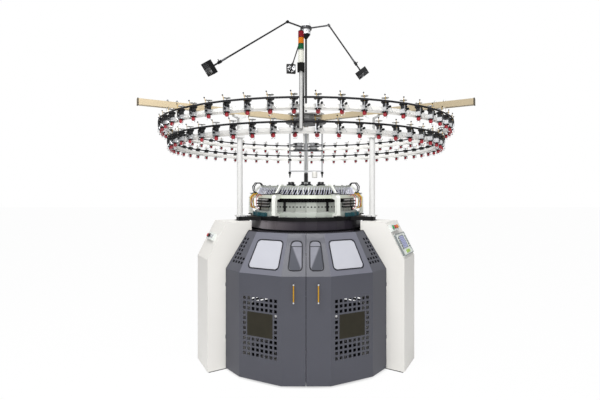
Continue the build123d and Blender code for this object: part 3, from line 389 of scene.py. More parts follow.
pane_dark = surface("smoked dark sheet", "#2d2b24", "#35322a", 90, 0.5, 0.05, shine=0.05)
# The narrow front panes are darker as painted shade for the inside behind them.
pane_painted_shade = surface("clear sheet with painted shade of the inside", "#7e7f88", "#74757e", 60, 0.35, 0.05, shine=0.1)
print("with plastics, rubbers and sheets:", len(bpy.data.materials) - loaded)

# %% [markdown]
# Some solids have several finishes, such as the lamps of the signal tower. They could be cut apart, but a
# colour ramp along the piece's own axis changes the tone at given heights and keeps the solid whole. A
# smooth ramp paints the light that falls along the skirt and the arms.

# %% Banded surfaces
arm_tan = bands(
    surface("tan satin extrusion", "#c4b496", "#b3a283", 120, 0.42, 0.06, 0.2, 0.03, 1.0,
            stretch=(0.2, 0.2, 3), shine=0.3),
    [-0.3, 0.1, 0.5], ["#c0b092", "#c0b092", "#b5a689", "#a0937a"], "X", smooth=True)
skirt_sheen = bands(
    skirt_paint, [-0.54, -0.30, -0.05, 0.25, 0.54],
    ["#cfc9cd", "#cfc9cd", "#6a6468", "#37323a", "#36323a", "#36323a"], "X", smooth=True)
hub_stack, drive_rods, stacked_pulley, cap_stack, shaft_stack, hub_plates, feeder_stack = (
    bands(surface(name, tone, second, *numbers), edges, colours)
    for name, tone, second, numbers, edges, colours in (
        ("fan head in silver and black", "#d5d6d8", "#c5c6c9", (30, 0.3, 0.05, 0.5),
         [3.0975, 3.1245], ["#d5d6d8", "#17171a", "#e4e4e4"]),
        ("belt drive rods and bars", "#c9cacc", "#b8babd", (40, 0.3, 0.05, 0.5),
         [1.7025, 1.889, 1.9025], ["#a9aaad", "#c9cacc", "#232428", "#c9cacc"]),
        ("pulley with black rims", "#c9cacc", "#b8babd", (40, 0.4, 0.05, 0.2),
         [1.9108, 1.933, 1.9417, 1.9638], ["#1b1b1e", "#c4c5c7", "#1b1b1e", "#c4c5c7", "#1b1b1e"]),
        ("dial cam carrier, dark drum and pale rim", "#2a2b2f", "#36373c", (40, 0.45, 0.06, 0.4),
         [1.5095, 1.5455], ["#1d1e21", "#a5a8a1", "#1d1d20"]),
        ("dial shaft with a black coupling", "#a4a6a8", "#96989a", (25, 0.3, 0.06, 0.6),
         [1.583, 1.676], ["#a4a6a8", "#161618", "#a9abad"]),
        ("hub of dark and bright plates", "#c4c4c2", "#b3b3b2", (60, 0.4, 0.06, 0.3),
         [2.1845], ["#17171a", "#a9a9a8"]),
        ("feeder with a black housing on a bright bracket", "#c9cacc", "#b9babc", (20, 0.4, 0.06, 0.1),
         [1.926, 1.990, 2.068], ["#c6c7c9", "#17171a", "#c6c7c9", "#17171a"])))
lamp_stack = bands(
    surface("stacked lamp lenses", "#2c2a28", "#1e1c1b", 15, 0.5, 0.05, 0.0, 0.02, 3, shine=0.08),
    [2.302, 2.383, 2.423, 2.463], ["#050505", "#c9c9bf", "#0e4a2a", "#b4640f", "#6e0c1a"])
print("with banded surfaces:", len(bpy.data.materials) - loaded)

# %% [markdown]
# Three surfaces get a mask, worked out from a face's direction or place, so that no face is picked by hand.
# The slopes beside the middle ones catch the light, so the slate is lighter where the face points 20
# degrees to a side (its X is 0.342) and up. The skirt's flange, which faces up, is plain. The narrow
# windows get painted shade in their lower outer corner, for the shaded inside seen there.

# %% Masks
tree = slate.node_tree
facing = axes(tree, "Normal")
aside = calc(tree, "COMPARE", calc(tree, "ABSOLUTE", facing["X"]), 0.342, 0.09)
sloped = calc(tree, "COMPARE", facing["Z"], 0.543, 0.05)
recolour(slate, calc(tree, "MULTIPLY", aside, sloped), "#666771")

tree = skirt_sheen.node_tree
recolour(skirt_sheen, calc(tree, "GREATER_THAN", axes(tree, "Normal")["Z"], 0.5), "#3a363b")

# Painted shade: below this height the lower outer corner of the narrow panes turns dark for the shaded inside.
INSIDE_TOP = 1.060
tree = pane_painted_shade.node_tree
place = axes(tree)
edge = remap(tree, place["Z"], 0.90, INSIDE_TOP, 0.035, 0.105)
beyond = calc(tree, "SUBTRACT", calc(tree, "ABSOLUTE", place["X"]), edge)
below = calc(tree, "LESS_THAN", place["Z"], INSIDE_TOP)
recolour(pane_painted_shade, calc(tree, "MULTIPLY", remap(tree, beyond, -0.004, 0.010), below), "#43454d")
print("masks set on:", ", ".join(material.name for material in (slate, skirt_sheen, pane_painted_shade)))

# %% [markdown]
# Now every piece of the construction gets its surface, from one table that is easy to check against the
# picture. The panes of one node differ: low ones are the dark sight windows, narrow ones at the front
# carry painted shade for the inside, and the others a painted reflection.

# %% Surfaces of the construction's pieces
pieces_of = (
    (cast_paint, "base_frame"),
    (slate, "left_door right_door rear_guards"),
    (off_white, "leg_cover_rear"),
    (skirt_sheen, "skirt_ring"),
    (brass, "left_door_handle right_door_handle"),
    (black_paint, "bed_plate fan_mast fan_arm_left fan_arm_right fan_arm_rear"),
    (ground_steel, "needle_cylinder yarn_guides drive_shaft"),
    (shaft_stack, "dial"),
    (cap_stack, "dial_cap"),
    (grey_ring, "cam_base_ring"),
    (cam_steel, "cam_boxes"),
    (ring_black, "cam_cover_ring"),
    (pale_ring, "guide_ring"),
    (white_paint, "ring_brackets"),
    (grey_casting, "take_down_frame"),
    (grey_rod, "take_down_roller cloth_bar"),
    (roller_rubber, "press_roller"),
    (motor_paint, "drive_motor"),
    # the posts' darker white is painted shade
    (post_white_shaded, "ring_posts post_clamps"),
    (arm_tan, "ring_arms"),
    (hub_plates, "arm_hub"),
    (tube_white, "upper_ring lower_ring yarn_rails"),
    (drive_rods, "belt_drive_frame"),
    (stacked_pulley, "drive_pulley_left drive_pulley_right"),
    (satin_alloy, "signal_pole"),
    (lamp_stack, "signal_tower"),
    (hub_stack, "fan_hub"),
    (feeder_black, "fan_rotor_left fan_rotor_right fan_rotor_rear left_start_button"),
    (control_grey, "button_boxes control_panel"),
    (red_plastic, "left_stop_button right_stop_button"),
    (green_plastic, "right_start_button"),
    (amber_plastic, "right_jog_button"),
)
dressed = [(name, material) for material, names in pieces_of for name in names.split()]
for name, material in dressed:
    nodes[name].data.materials.clear()
    nodes[name].data.materials.append(material)

SIGHT_TOP, NARROW = 0.7, 0.15
panes = ("left_door_panes", "right_door_panes", "guard_panes")
for name in panes:
    mesh = nodes[name].data
    mesh.materials.clear()
    # The first sheet carries a painted reflection, and the third painted shade of the inside.
    for material in (pane_clear, pane_dark, pane_painted_shade):
        mesh.materials.append(material)
    for face in mesh.polygons:
        place = mesh.vertices[face.vertices[0]].co
        narrow = abs(place.x) < NARROW and place.y < 0
        face.material_index = 1 if place.z < SIGHT_TOP else 2 if narrow else 0
print("pieces with a surface:", len(dressed) + len(panes))

# %% [markdown]
# ## Windows, seals and handles of the enclosure
# Every sloped window has a black gasket pressed over its edge. The loops below walk round the panels of
# the doors and guards, draw a gasket on each panel's own face and turn it to the panel's angle. A thin
# black seal follows the edge beside each leg and the top edge. Black hoops at the skirt's foot and a black
# sheet behind the vents of the outer slopes are painted shade of the gap and of the inside. A gasket
# could be a round bar, but a flat ring with slanted sides lies on the sheet and needs half the faces.

# %% Gaskets and seals
FACETS = 15
FACET = 360 / FACETS
HALF_FACET = FACET / 2
GATES = (120, 240)  # angles of the fixed guards; the doors share the gate at 0
APOTHEM = 0.910 * cosine(HALF_FACET)
SHOULDER, WALL_TOP, SLOPE = 0.850, 1.160, 32.9
SLOPE_RUN = (WALL_TOP - SHOULDER) * math.tan(math.radians(SLOPE))
SLOPE_MIDDLE = (0, -APOTHEM + SLOPE_RUN / 2, (SHOULDER + WALL_TOP) / 2)
WINDOW_LOW, WINDOW_HIGH, WINDOW_ROUND = -0.137, 0.113, 0.034
LARGE_LOW_HALF, LARGE_HIGH_HALF = 0.1375, 0.116
NARROW_START, NARROW_LOW_END = 0.030, 0.140
GASKET_HALF, GASKET_RISE = 0.0045, 0.004
LEG_HALF, SEAL_ACROSS = 0.166, 0.1675
SEAM_TURN, LEG_TURN = 0.25, 45.6  # degrees from a gate's middle to the seam and to the leg


def round_path(points, radius, steps=5):
    """A closed path on a face with round corners, from its (across, up) corner points."""
    path = []
    for index, point in enumerate(points):
        before, after = Vector(points[index - 1]), Vector(points[(index + 1) % len(points)])
        corner = Vector(point)
        start = corner + (before - corner).normalized() * radius
        end = corner + (after - corner).normalized() * radius
        for step in range(steps + 1):
            t = step / steps
            path.append(start * (1 - t) ** 2 + corner * 2 * t * (1 - t) + end * t**2)
    return path


def flat_ring(path, half_width, rise, sink=0.001):
    """A flat frame that follows a closed path on a face and stands out of it."""
    corners = []
    for index, point in enumerate(path):
        along = (path[(index + 1) % len(path)] - path[index - 1]).normalized()
        side = Vector((along.y, -along.x)) * half_width
        for offset, out in ((side, sink), (side * 0.8, -rise), (-side * 0.8, -rise), (-side, sink)):
            place = point + offset
            corners.append(Vector((place.x, out, place.y)))
    return corners, walls(len(path), 4, closed=True)


def gasket(points):
    """Black gasket round a window's corner points."""
    return flat_ring(round_path(points, WINDOW_ROUND), GASKET_HALF, GASKET_RISE)


def large_gasket(shift):
    """Gasket of the big sloped window, moved across by a shift."""
    return gasket([(shift - LARGE_LOW_HALF, WINDOW_LOW), (shift + LARGE_LOW_HALF, WINDOW_LOW),
                   (shift + LARGE_HIGH_HALF, WINDOW_HIGH), (shift - LARGE_HIGH_HALF, WINDOW_HIGH)])


def narrow_gasket(side):
    """Gasket of the narrow sloped window beside the seam."""
    points = [(side * NARROW_START, WINDOW_LOW), (side * NARROW_LOW_END, WINDOW_LOW),
              (side * LARGE_HIGH_HALF, WINDOW_HIGH), (side * NARROW_START, WINDOW_HIGH)]
    return gasket(points[::side])


def on_slope(angle, shapes):
    """Shapes drawn on the slope of the panel at an angle."""
    return on_facing(SLOPE_MIDDLE, SLOPE, angle, shapes)


def vent_shade_sheet(gate, side):
    """Black sheet behind the vents of a gate's outer slope, painted shade for the dark inside."""
    rim = [(-0.180, -0.170), (0.008, -0.170), (-0.028, 0.170), (-0.142, 0.170)]
    corners = [Vector((side * x, sink, z)) for sink in (0.0036, 0.0044) for x, z in rim]
    faces = [(0, 1, 2, 3), (7, 6, 5, 4)] + [(a, a + 4, (a + 1) % 4 + 4, (a + 1) % 4) for a in range(4)]
    return on_slope(gate + 2 * FACET * side, [(corners, faces)])


def leg_edge(apothem):
    """Distance out along a leg to the enclosure's edge beside it."""
    return (apothem - LEG_HALF * sine(HALF_FACET)) / cosine(HALF_FACET)


def edge_seal(gate, side):
    """Black seal of a gate's edge beside a leg, from near the floor to the end of the slope."""
    x = -side * SEAL_ACROSS
    low, top = leg_edge(APOTHEM), leg_edge(APOTHEM - SLOPE_RUN)
    path = [(x, -low + 0.0012, 0.04), (x, -low + 0.0012, SHOULDER), (x, -top - 0.002, WALL_TOP)]
    return placed(bar(path, 0.0022, 6), gate + side * 60)


def top_seal(gate, start, end):
    """Black seal along the top edge between two angles of a gate, with a bend at each corner."""
    corner = (APOTHEM - SLOPE_RUN) / cosine(HALF_FACET) + 0.001
    bends = [turn * HALF_FACET for turn in (-3, -1, 1, 3)]
    path = []
    for turn in [start] + [bend for bend in bends if start < bend < end] + [end]:
        radius = corner * cosine(HALF_FACET) / cosine(turn - round(turn / FACET) * FACET)
        path.append((radius * sine(turn), -radius * cosine(turn), WALL_TOP + 0.001))
    return placed(bar(path, 0.0035, 6), gate)


for side, name in ((-1, "left_door"), (1, "right_door")):
    shapes = on_slope(FACET * side, [large_gasket(-side * 0.010)]) + on_slope(0, [narrow_gasket(side)])
    shapes += [edge_seal(0, side), top_seal(0, *sorted((side * SEAM_TURN, side * LEG_TURN)))]
    piece(f"{name}_gaskets", shapes, seal_rubber, name)
    # The black sheet behind the vents is painted shade for the dark inside.
    piece(f"{name}_vent_shade_sheet", vent_shade_sheet(0, side), shade_black, name)
    across = sorted((side * NARROW_START, side * 0.122))
    pane_bar = on_slope(0, [block(*across, -0.002, 0.002, 0.063, 0.067)])
    piece(f"{name}_pane_bar", pane_bar, seal_rubber, name)
    caps = [turned([(0.0072, low), (0.0078, low + 0.002), (0.0078, low + 0.010), (0.0072, low + 0.012)],
                   12, (side * 0.094, -APOTHEM - 0.032, 0)) for low in (0.653, 0.790)]
    piece(f"{name}_handle_caps", caps, bright_wire, name)

shapes, meshes = [], []
for gate in GATES:
    for side in (-1, 1):
        shapes += on_slope(gate + FACET * side, [large_gasket(0)]) + [edge_seal(gate, side)]
        meshes += vent_shade_sheet(gate, side)
    shapes.append(top_seal(gate, -LEG_TURN, LEG_TURN))
piece("guard_gaskets", shapes, seal_rubber)
# Black sheets behind the guards' vents are painted shade for the dark inside.
piece("guard_vent_shade_sheet", meshes, shade_black)
# Two black hoops at the skirt's foot are painted shade for the gap there.
piece("skirt_foot_shade_band", [hoop(0.5430, 0.0042, (0, 0, up), steps=72) for up in (1.1530, 1.1610)], shade_black)
print("gaskets and seals done")

# %% [markdown]
# ## Covers of the front legs
# In the picture the covers of the two front legs end a little further out, so that more of the round skirt
# shows between them. These covers are drawn after the construction's own, with the inner edge moved out,
# which keeps all their other folds.

# %% Leg covers
COVER_EDGE = 0.640


def redrawn(node, change):
    """The construction's own shape of a node, with each corner changed."""
    return [change(node.matrix_world @ vertex.co) for vertex in node.data.vertices], [
        tuple(face.vertices) for face in node.data.polygons]


def moved_out(corner):
    """A corner of a cover that faces the operator, no nearer to the axis than the edge."""
    return Vector((corner.x, min(corner.y, -COVER_EDGE), corner.z))


for side, angle in (("left", -60), ("right", 60)):
    into_leg = turn_about("Z", -angle)
    shape = redrawn(nodes["leg_cover_" + side], lambda corner: moved_out(into_leg @ corner))
    cover = piece("shown_cover_" + side, [placed(shape, angle)], off_white)
    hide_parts("leg_cover_" + side)
print("leg covers end at", COVER_EDGE, "m from the axis")

# %% [markdown]
# ## Yarn feeders
# A feeder draws yarn from its cone and hands it on at the belt's speed. It is drawn once, facing the
# operator, and copied to every place on both rings. Above the belt it has a clutch plate and a lever with a
# knob. Below it has a bracket, a yarn brake, two eyelets, a red stop lamp and a wire eye. The rounds of the
# construction are replaced by smooth ones. Objects that share one mesh would be lighter, but 108 copies of
# nine parts would be a thousand pieces, so the copies of a part are joined.

# %% Feeder details
FEEDERS = 54
RINGS = ((1.313, 2.058), (1.238, 1.916))  # radius and height of each ring
RING_HALF = 0.0125
SPINDLE_OUT = 0.020
BELT_UP, BELT_GROWTH = 0.0435, 1.5


def every_feeder(parts):
    """Copies of a feeder's parts at each place; they are drawn from the ring's face and height."""
    shapes = []
    for radius, height in RINGS:
        flat = (radius + RING_HALF) * cosine(180 / FEEDERS)
        to_ring = Matrix.Translation((0, -flat, height))
        for part in parts:
            shapes += around(moved(part, to_ring), FEEDERS, 180 / FEEDERS)
    return shapes


def on_spindle(profile, sides):
    """A part turned round the feeder's spindle."""
    return turned(profile, sides, (0, -SPINDLE_OUT, 0))


def taller(corner):
    """A corner of a belt, moved to make the belt half as high again about its middle."""
    middle = min((height + BELT_UP for _, height in RINGS), key=lambda up: abs(up - corner.z))
    return Vector((corner.x, corner.y, middle + (corner.z - middle) * BELT_GROWTH))


# black housing on the ring, with a narrower bright bracket below it
housing = [
    block(-0.0118, 0.0118, -0.039, -0.001, 0.0325, 0.0375),
    block(-0.0070, 0.0070, -0.036, -0.001, 0.010, 0.0325),
    block(-0.0060, 0.0060, -0.029, -0.001, -0.0215, 0.010),
    block(-0.0118, -0.0090, -0.039, -0.001, -0.0215, 0.010),
    block(-0.0118, 0.0118, -0.039, -0.001, -0.0215, -0.0180),
]
# black pulley with two rims and a hub
clutch_pulley = [on_spindle([
    (0.010, 0.038), (0.0268, 0.038), (0.0278, 0.0392), (0.0278, 0.0478), (0.0268, 0.049), (0.020, 0.0492),
    (0.018, 0.053), (0.009, 0.054)], 16)]
# thin clutch plate above the pulley, and its spindle
clutch_plate = [
    on_spindle([(0.025, 0.069), (0.026, 0.0705), (0.025, 0.072)], 14),
    on_spindle([(0.0035, 0.052), (0.0035, 0.074)], 8),
]
# red stop lamp, a flattened ball under the body
stop_lamp = [on_spindle([
    (0.004, -0.056), (0.0105, -0.0535), (0.0142, -0.047), (0.0150, -0.040), (0.0135, -0.0335), (0.0105, -0.029),
    (0.0105, -0.022)], 12)]
# small bent lever beside the pulley, and its knob
lever = [bar([(-0.010, -0.040, 0.030), (-0.013, -0.040, 0.062), (-0.018, -0.042, 0.084)], 0.0020, 5)]
lever_knob = [ball(0.0052, (-0.0185, -0.0440, 0.0865), 8)]
# black yarn brake, tension discs and the lower wheel in front of and below the body
brake = [
    pin(0.0, 0.022, 0.040, 0.050, 0.0095),
    pin(0.0, -0.004, 0.040, 0.047, 0.0065),
    pin(0.022, 0.010, 0.028, 0.048, 0.0080),
    on_spindle([(0.010, -0.022), (0.0215, -0.0225), (0.0225, -0.025), (0.0215, -0.0275), (0.010, -0.028)], 14),
    block(-0.0125, 0.0125, -0.041, -0.036, 0.0305, 0.0385),
]
# bright bracket, side arm and wire eyes
bracket = [
    block(-0.0128, -0.0095, -0.048, -0.040, -0.020, 0.030),
    bar([(0.012, -0.031, 0.008), (0.034, -0.035, 0.004), (0.044, -0.037, -0.014)], 0.0014, 5),
    hoop(0.0048, 0.0011, (0.0445, -0.037, -0.019), (90, 0), 8, 4),
    hoop(0.0135, 0.0011, (0, -0.020, -0.0625), (12, 0), 12, 4),
    bar([(0.011, -0.018, -0.024), (0.0165, -0.019, -0.044), (0.0135, -0.020, -0.062)], 0.0011, 5),
    bar([(-0.004, -0.045, -0.004), (-0.010, -0.0478, -0.022), (-0.002, -0.047, -0.036)], 0.0012, 5),
]
# black ceramic eyelets below the body
eyelets = [
    hoop(0.0055, 0.0019, (-0.002, -0.047, -0.041), (90, 0), 10, 5),
    hoop(0.0050, 0.0018, (-0.004, -0.0465, 0.010), (80, 20), 10, 5),
]

belts = piece("feeder_toothed_belts", [redrawn(nodes["feeder_belts"], taller)], belt_rubber)
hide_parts("feeder_belts")
lamps = piece("feeder_stop_lamps", every_feeder(stop_lamp), feeder_red)
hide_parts("feeder_drums")
housings = piece("feeder_housings", every_feeder(housing), feeder_stack)
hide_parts("feeder_bodies")
pulleys = piece("feeder_clutch_pulleys", every_feeder(clutch_pulley), feeder_black)
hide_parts("feeder_pulleys")
for name, parts, material in (
        ("feeder_clutch_plates", clutch_plate, satin_alloy), ("feeder_levers", lever, yellow_resin),
        ("feeder_lever_knobs", lever_knob, feeder_black), ("feeder_brakes", brake, feeder_black),
        ("feeder_brackets", bracket, bright_wire), ("feeder_eyelets", eyelets, feeder_black)):
    piece(name, every_feeder(parts), material)
print("feeders dressed:", 2 * FEEDERS)

# %% [markdown]
# ## Knitting head
# Each cam box has three black screw heads on its face, and black bars cover some of the joints. Slanted
# guide fingers stand all round between the larger ones. At the sides are the oil unit with its coloured
# tubes, black hoses that arch over the rim, and the blocks of the stop motion. The tubes and hoses could be
# curves. Bars through a few points were chosen, because they are thin and need few sides.

# %% Head details
BED_TOP = 1.272
CAM_FACE = 0.4585
CAM_BOXES, FINGERS, RIM_PLATES, BED_BOLTS = 30, 120, 24, 36
HALF_BOX = 180 / CAM_BOXES

screws = [shape for x in (-0.031, 0.0, 0.031)
          for shape in around(pin(x, 1.360, 0.455, CAM_FACE, 0.0072), CAM_BOXES, HALF_BOX)]
joint_bars = [placed(block(-0.010, 0.010, -0.4680, -CAM_FACE, 1.3155, 1.4010), angle)
              for angle in (24, 72, 120, 168, 192, 240, 288, 336)]
joint_lines = around(block(-0.0012, 0.0012, -0.4600, -0.4570, 1.316, 1.400), CAM_BOXES)
piece("cam_box_screws", screws, feeder_black)
piece("cam_box_joint_bars", joint_bars, black_paint)
piece("cam_box_joint_lines", joint_lines, black_paint)

finger = bar([(0, -0.474, 1.4655), (0.004, -0.472, 1.478), (0.024, -0.450, 1.533)], 0.0019, 5)
finger_foot = block(-0.0055, 0.0055, -0.481, -0.467, 1.4652, 1.4700)
piece("slanted_fingers", around(finger, FINGERS, 0.75), finger_white)
piece("finger_feet", around(finger_foot, FINGERS, 0.75), feeder_black)

rim_plate = block(-0.040, 0.040, -0.4385, -0.4010, 1.5452, 1.5492)
rim_bolt = bolt([(0.0065, 1.549), (0.0065, 1.5545), (0.005, 1.556)], 0, 0.420)
piece("dial_rim_plates", around(rim_plate, RIM_PLATES, 7.5), grey_ring)
piece("dial_rim_bolts", around(rim_bolt, RIM_PLATES, 7.5), feeder_black)

bed_bolt = bolt([(0.0075, BED_TOP), (0.0075, BED_TOP + 0.007), (0.006, BED_TOP + 0.008)], 0, 0.515)
bed_bolts = around(bed_bolt, BED_BOLTS)
for x, out in ((-0.026, 0.695), (0.026, 0.695), (-0.036, 0.640), (0.036, 0.640)):
    bed_bolts += on_legs(bolt([(0.0095, BED_TOP), (0.0095, BED_TOP + 0.009), (0.008, BED_TOP + 0.0105)], x, out))
piece("bed_bolts", bed_bolts, bright_wire)
ring_clamp = block(-0.046, 0.046, -0.4885, -0.4600, 1.3152, 1.3200)
piece("base_ring_clamps", around(ring_clamp, CAM_BOXES, HALF_BOX), satin_alloy)

HOSE_PATH = [(0, -0.430, 1.546), (0, -0.455, 1.578), (0, -0.500, 1.578), (0, -0.524, 1.545),
             (0, -0.520, 1.505), (0, -0.485, 1.468)]
BOX_TURNS = (52, 66, 108, 124)
boxes, slides = [], []
for low in (1.350, 1.376, 1.402):
    boxes += both_sides(block(-0.050, 0.050, -0.494, -CAM_FACE, low, low + 0.013), BOX_TURNS)
    slides += both_sides(block(-0.044, 0.044, -0.482, -CAM_FACE, low + 0.013, low + 0.026), BOX_TURNS)
piece("stop_motion_boxes", boxes, black_paint)
piece("stop_motion_slides", slides, satin_alloy)
teal_block = block(-0.026, 0.026, -0.528, -0.495, BED_TOP + 0.001, 1.306)
piece("oil_distributors", both_sides(teal_block, (48, 60, 72, 104, 118)), teal_plastic)
piece("rim_hoses", both_sides(bar(HOSE_PATH, 0.0055, 7), (78, 84, 97)), hose_black)

tubes = {"red": [], "yellow": [], "blue": []}
for count, (angle, colour) in enumerate((
        (74, "red"), (76, "yellow"), (79, "yellow"), (82, "blue"), (86, "yellow"), (95, "red"), (98, "yellow"),
        (101, "blue"), (64, "yellow"), (57, "red"))):
    lift = 0.006 * (count % 3)
    path = [(0, -0.486, 1.455), (0, -0.512, 1.470 + lift), (0, -0.538 - lift, 1.440), (0, -0.544, 1.395),
            (0, -0.534 - lift, 1.350), (0, -0.512, 1.335)]
    tubes[colour] += both_sides(bar(path, 0.0030, 6), [angle])
for colour, material in (("red", oil_red), ("yellow", oil_yellow), ("blue", oil_blue)):
    piece(f"{colour}_oil_tubes", tubes[colour], material)

caps = around(block(-0.024, 0.024, -0.553, -0.480, 1.4752, 1.4815), 6, 30)
caps += around(block(-0.030, 0.030, -0.568, -0.530, BED_TOP + 0.0005, BED_TOP + 0.010), 6, 30)
bracket_bolts = [shape for x in (-0.012, 0.012)
                 for shape in around(bolt([(0.006, 1.4815), (0.006, 1.4875)], x, 0.520), 6, 30)]
piece("bracket_caps", caps, black_paint)
piece("bracket_bolts", bracket_bolts, bright_wire)
print("head details done")

# %% [markdown]
# ## Controls on the legs
# The panel on the right leg has a lit display with dark rows, soft keys at its sides and a row of green
# keys. The push buttons sit in bright bezels, and the left box has two empty ones. Everything is drawn
# flat, and one matrix puts it on the cover's sloping face, so that nothing is tilted by hand.

# %% Panel and button details
KNEE_OUT, KNEE_UP = 1.027, 0.932
TOP_OUT, TOP_UP = 0.870, 1.236
LEAN = math.degrees(math.atan2(KNEE_OUT - TOP_OUT, TOP_UP - KNEE_UP))
PANEL_UP = 0.124
PANEL_HALF, PANEL_HALF_UP = 0.130, 0.0955
KEY_BACK, KEY_FRONT = -0.0160, -0.0185


def cover_place(up):
    """A point on the middle of a leg cover's slope, at a distance up from its knee."""
    return (0, -KNEE_OUT + up * sine(LEAN), KNEE_UP + up * cosine(LEAN))


def on_panel(shapes):
    """Shapes drawn on the front of the panel."""
    return on_facing(cover_place(PANEL_UP), LEAN, 60, shapes)


def frame_path(half, low, high, radius):
    """A rectangle with round corners."""
    return round_path([(-half, low), (half, low), (half, high), (-half, high)], radius)


rows = [block(-0.054 + 0.02 * c, -0.046 + 0.02 * c + 0.006 * (c % 2), -0.0133, -0.0127, z, z + 0.004)
        for z in (-0.020, -0.006, 0.008, 0.022, 0.036, 0.052) for c in range(5)]
greens = [block(-0.050 + 0.0175 * c, -0.037 + 0.0175 * c, KEY_FRONT, KEY_BACK, -0.0800, -0.0540) for c in range(6)]
greys = [block(side * 0.095 - 0.009, side * 0.095 + 0.009, KEY_FRONT, KEY_BACK, z - 0.008, z + 0.008)
         for side in (-1, 1) for z in (-0.035, -0.012, 0.011, 0.034, 0.057)]
piece("panel_bezels", on_panel([
    flat_ring(frame_path(PANEL_HALF, -PANEL_HALF_UP, PANEL_HALF_UP, 0.010), 0.004, 0.0165, 0.0),
    flat_ring(frame_path(0.066, -0.038, 0.074, 0.006), 0.003, 0.0155, -0.012)]), bezel_grey)
piece("panel_display", on_panel([block(-0.063, 0.063, -0.0128, -0.0120, -0.035, 0.071)]), screen_glow)
piece("panel_display_rows", on_panel(rows), row_grey)
piece("panel_green_keys", on_panel(greens), key_green)
piece("panel_side_keys", on_panel(greys), graphite)

shapes = []
for angle, up, places, empty in ((-60, 0.193, (-0.056, -0.018), (0.022, 0.055)),
                                 (60, 0.282, (-0.115, -0.060, -0.005), ())):
    rings = [flat_ring(circle(0.0178, 20, x), 0.0022, 0.0245, -0.0220) for x in places]
    rings += [flat_ring(circle(0.0120, 20, x), 0.0030, 0.0250, -0.0220) for x in empty]
    shapes += on_facing(cover_place(up), LEAN, angle, rings)
piece("button_bezels", shapes, bright_wire)
print("controls done, on a slope that leans", round(LEAN, 1), "degrees")

# %% [markdown]
# ## Arms, belt drive, signal tower and fans
# The tan arms end in dark collars and are bolted to the hub. Below the hub are the guide wheels and the
# gear case of the belt drive. The lamps of the tower have black rims, and its cable runs down beside the
# pole. All bolt heads have eight sides, which stand for six or for a round cap from a few metres.

# %% Details above the rings
ARM_LOW, ARM_TOP = 2.184, 2.234
ARM_HALF, COLLAR_SHEET = 0.025, 0.0025
ARM_END = (-1.5445, -1.5370)
TOWER_ACROSS, TOWER_OUT, LAMP_RADIUS = -0.031, 1.410, 0.0182

wide, high = ARM_HALF + COLLAR_SHEET, ARM_TOP + COLLAR_SHEET
collars, arm_bolts, hub_bolts = [], [], []
for low in (ARM_LOW - COLLAR_SHEET, ARM_TOP):
    collars += on_legs(block(-wide, wide, *ARM_END, low, low + COLLAR_SHEET))
for x in (-wide, ARM_HALF):
    collars += on_legs(block(x, x + COLLAR_SHEET, *ARM_END, ARM_LOW - COLLAR_SHEET, high))
for hub_out, arm_out in ((0.145, 0.650), (0.180, 0.730)):
    for side in (-1, 1):
        hub_bolts += on_legs(bolt([(0.009, 2.246), (0.009, 2.254), (0.007, 2.256)], side * 0.016, hub_out))
        arm_bolts += on_legs(bolt([(0.008, ARM_TOP), (0.008, 2.241)], side * 0.014, arm_out))
for out in (1.238, 1.313):
    arm_bolts += on_legs(bolt([(0.011, ARM_TOP), (0.011, 2.243), (0.006, 2.244), (0.006, 2.252)], 0, out))
piece("arm_end_collars", collars, black_paint)
piece("arm_bolts", arm_bolts, bright_wire)
piece("hub_bolts", hub_bolts, feeder_black)

fittings, idlers = [], []
for side in (-1, 1):
    x = side * 0.160
    fittings += [
        block(x - 0.016, x + 0.016, -0.016, 0.016, 1.800, 1.816),
        block(x - 0.013, x + 0.013, -0.022, 0.022, 1.6700, 1.6900),
        turned([(0.003, 1.630), (0.008, 1.655), (0.008, 1.670)], 8, (x, 0, 0)),
        bar([(x, -0.018, 1.955), (side * 0.130, -0.055, 1.955), (side * 0.104, -0.062, 1.955)], 0.004, 6),
    ]
    idler = [(0.012, 1.949), (0.014, 1.951), (0.014, 1.963), (0.012, 1.965)]
    idlers.append(turned(idler, 12, (side * 0.100, -0.062, 0)))
gear_case = turned([(0.022, 1.630), (0.026, 1.634), (0.026, 1.686), (0.022, 1.6895)], 16, (0.085, -0.026, 0))
piece("belt_drive_fittings", fittings, feeder_black)
piece("belt_drive_idlers", idlers, feeder_black)
piece("belt_drive_gear_case", [gear_case], off_white)

profiles = [[(0.0150, 2.4995), (LAMP_RADIUS, 2.5005), (LAMP_RADIUS, 2.5035), (0.012, 2.508)]]
profiles += [[(LAMP_RADIUS, low), (LAMP_RADIUS + 0.0004, low + 0.0006), (LAMP_RADIUS + 0.0004, low + 0.0022),
              (LAMP_RADIUS, low + 0.0028)] for low in (2.2995, 2.3815, 2.4215, 2.4615)]
tower = [turned(profile, 16, (TOWER_ACROSS, -TOWER_OUT, 0)) for profile in profiles]
piece("signal_tower_rims", tower, black_paint)
cable = [(-0.013, -1.405, 2.252), (-0.014, -1.402, 2.150), (-0.015, -1.398, 2.060), (-0.015, -1.398, 1.930)]
piece("signal_tower_cable", [bar(cable, 0.0045, 6)], hose_black)
print("arms, belt drive and signal tower done")

# %% [markdown]
# The lint fans have wire grilles on both faces and a clamp on each long arm. Each is drawn along the arm
# that carries it: the arm starts at its elbow and points towards -Y, and is then tilted down and turned to
# its angle. The table gives each fan's angle, distance out and height.

# %% Fan details
ELBOW_OUT, ELBOW_UP = 0.235, 3.111
FANS = (("left", -49, 1.046, 2.500), ("right", 71, 0.560, 2.616), ("rear", 191, 0.935, 2.999))
FAN_X = 0.006  # middle of the fan across its arm
GRILLE_WIRE, GRILLE_SPOKE = 0.0009, 0.048

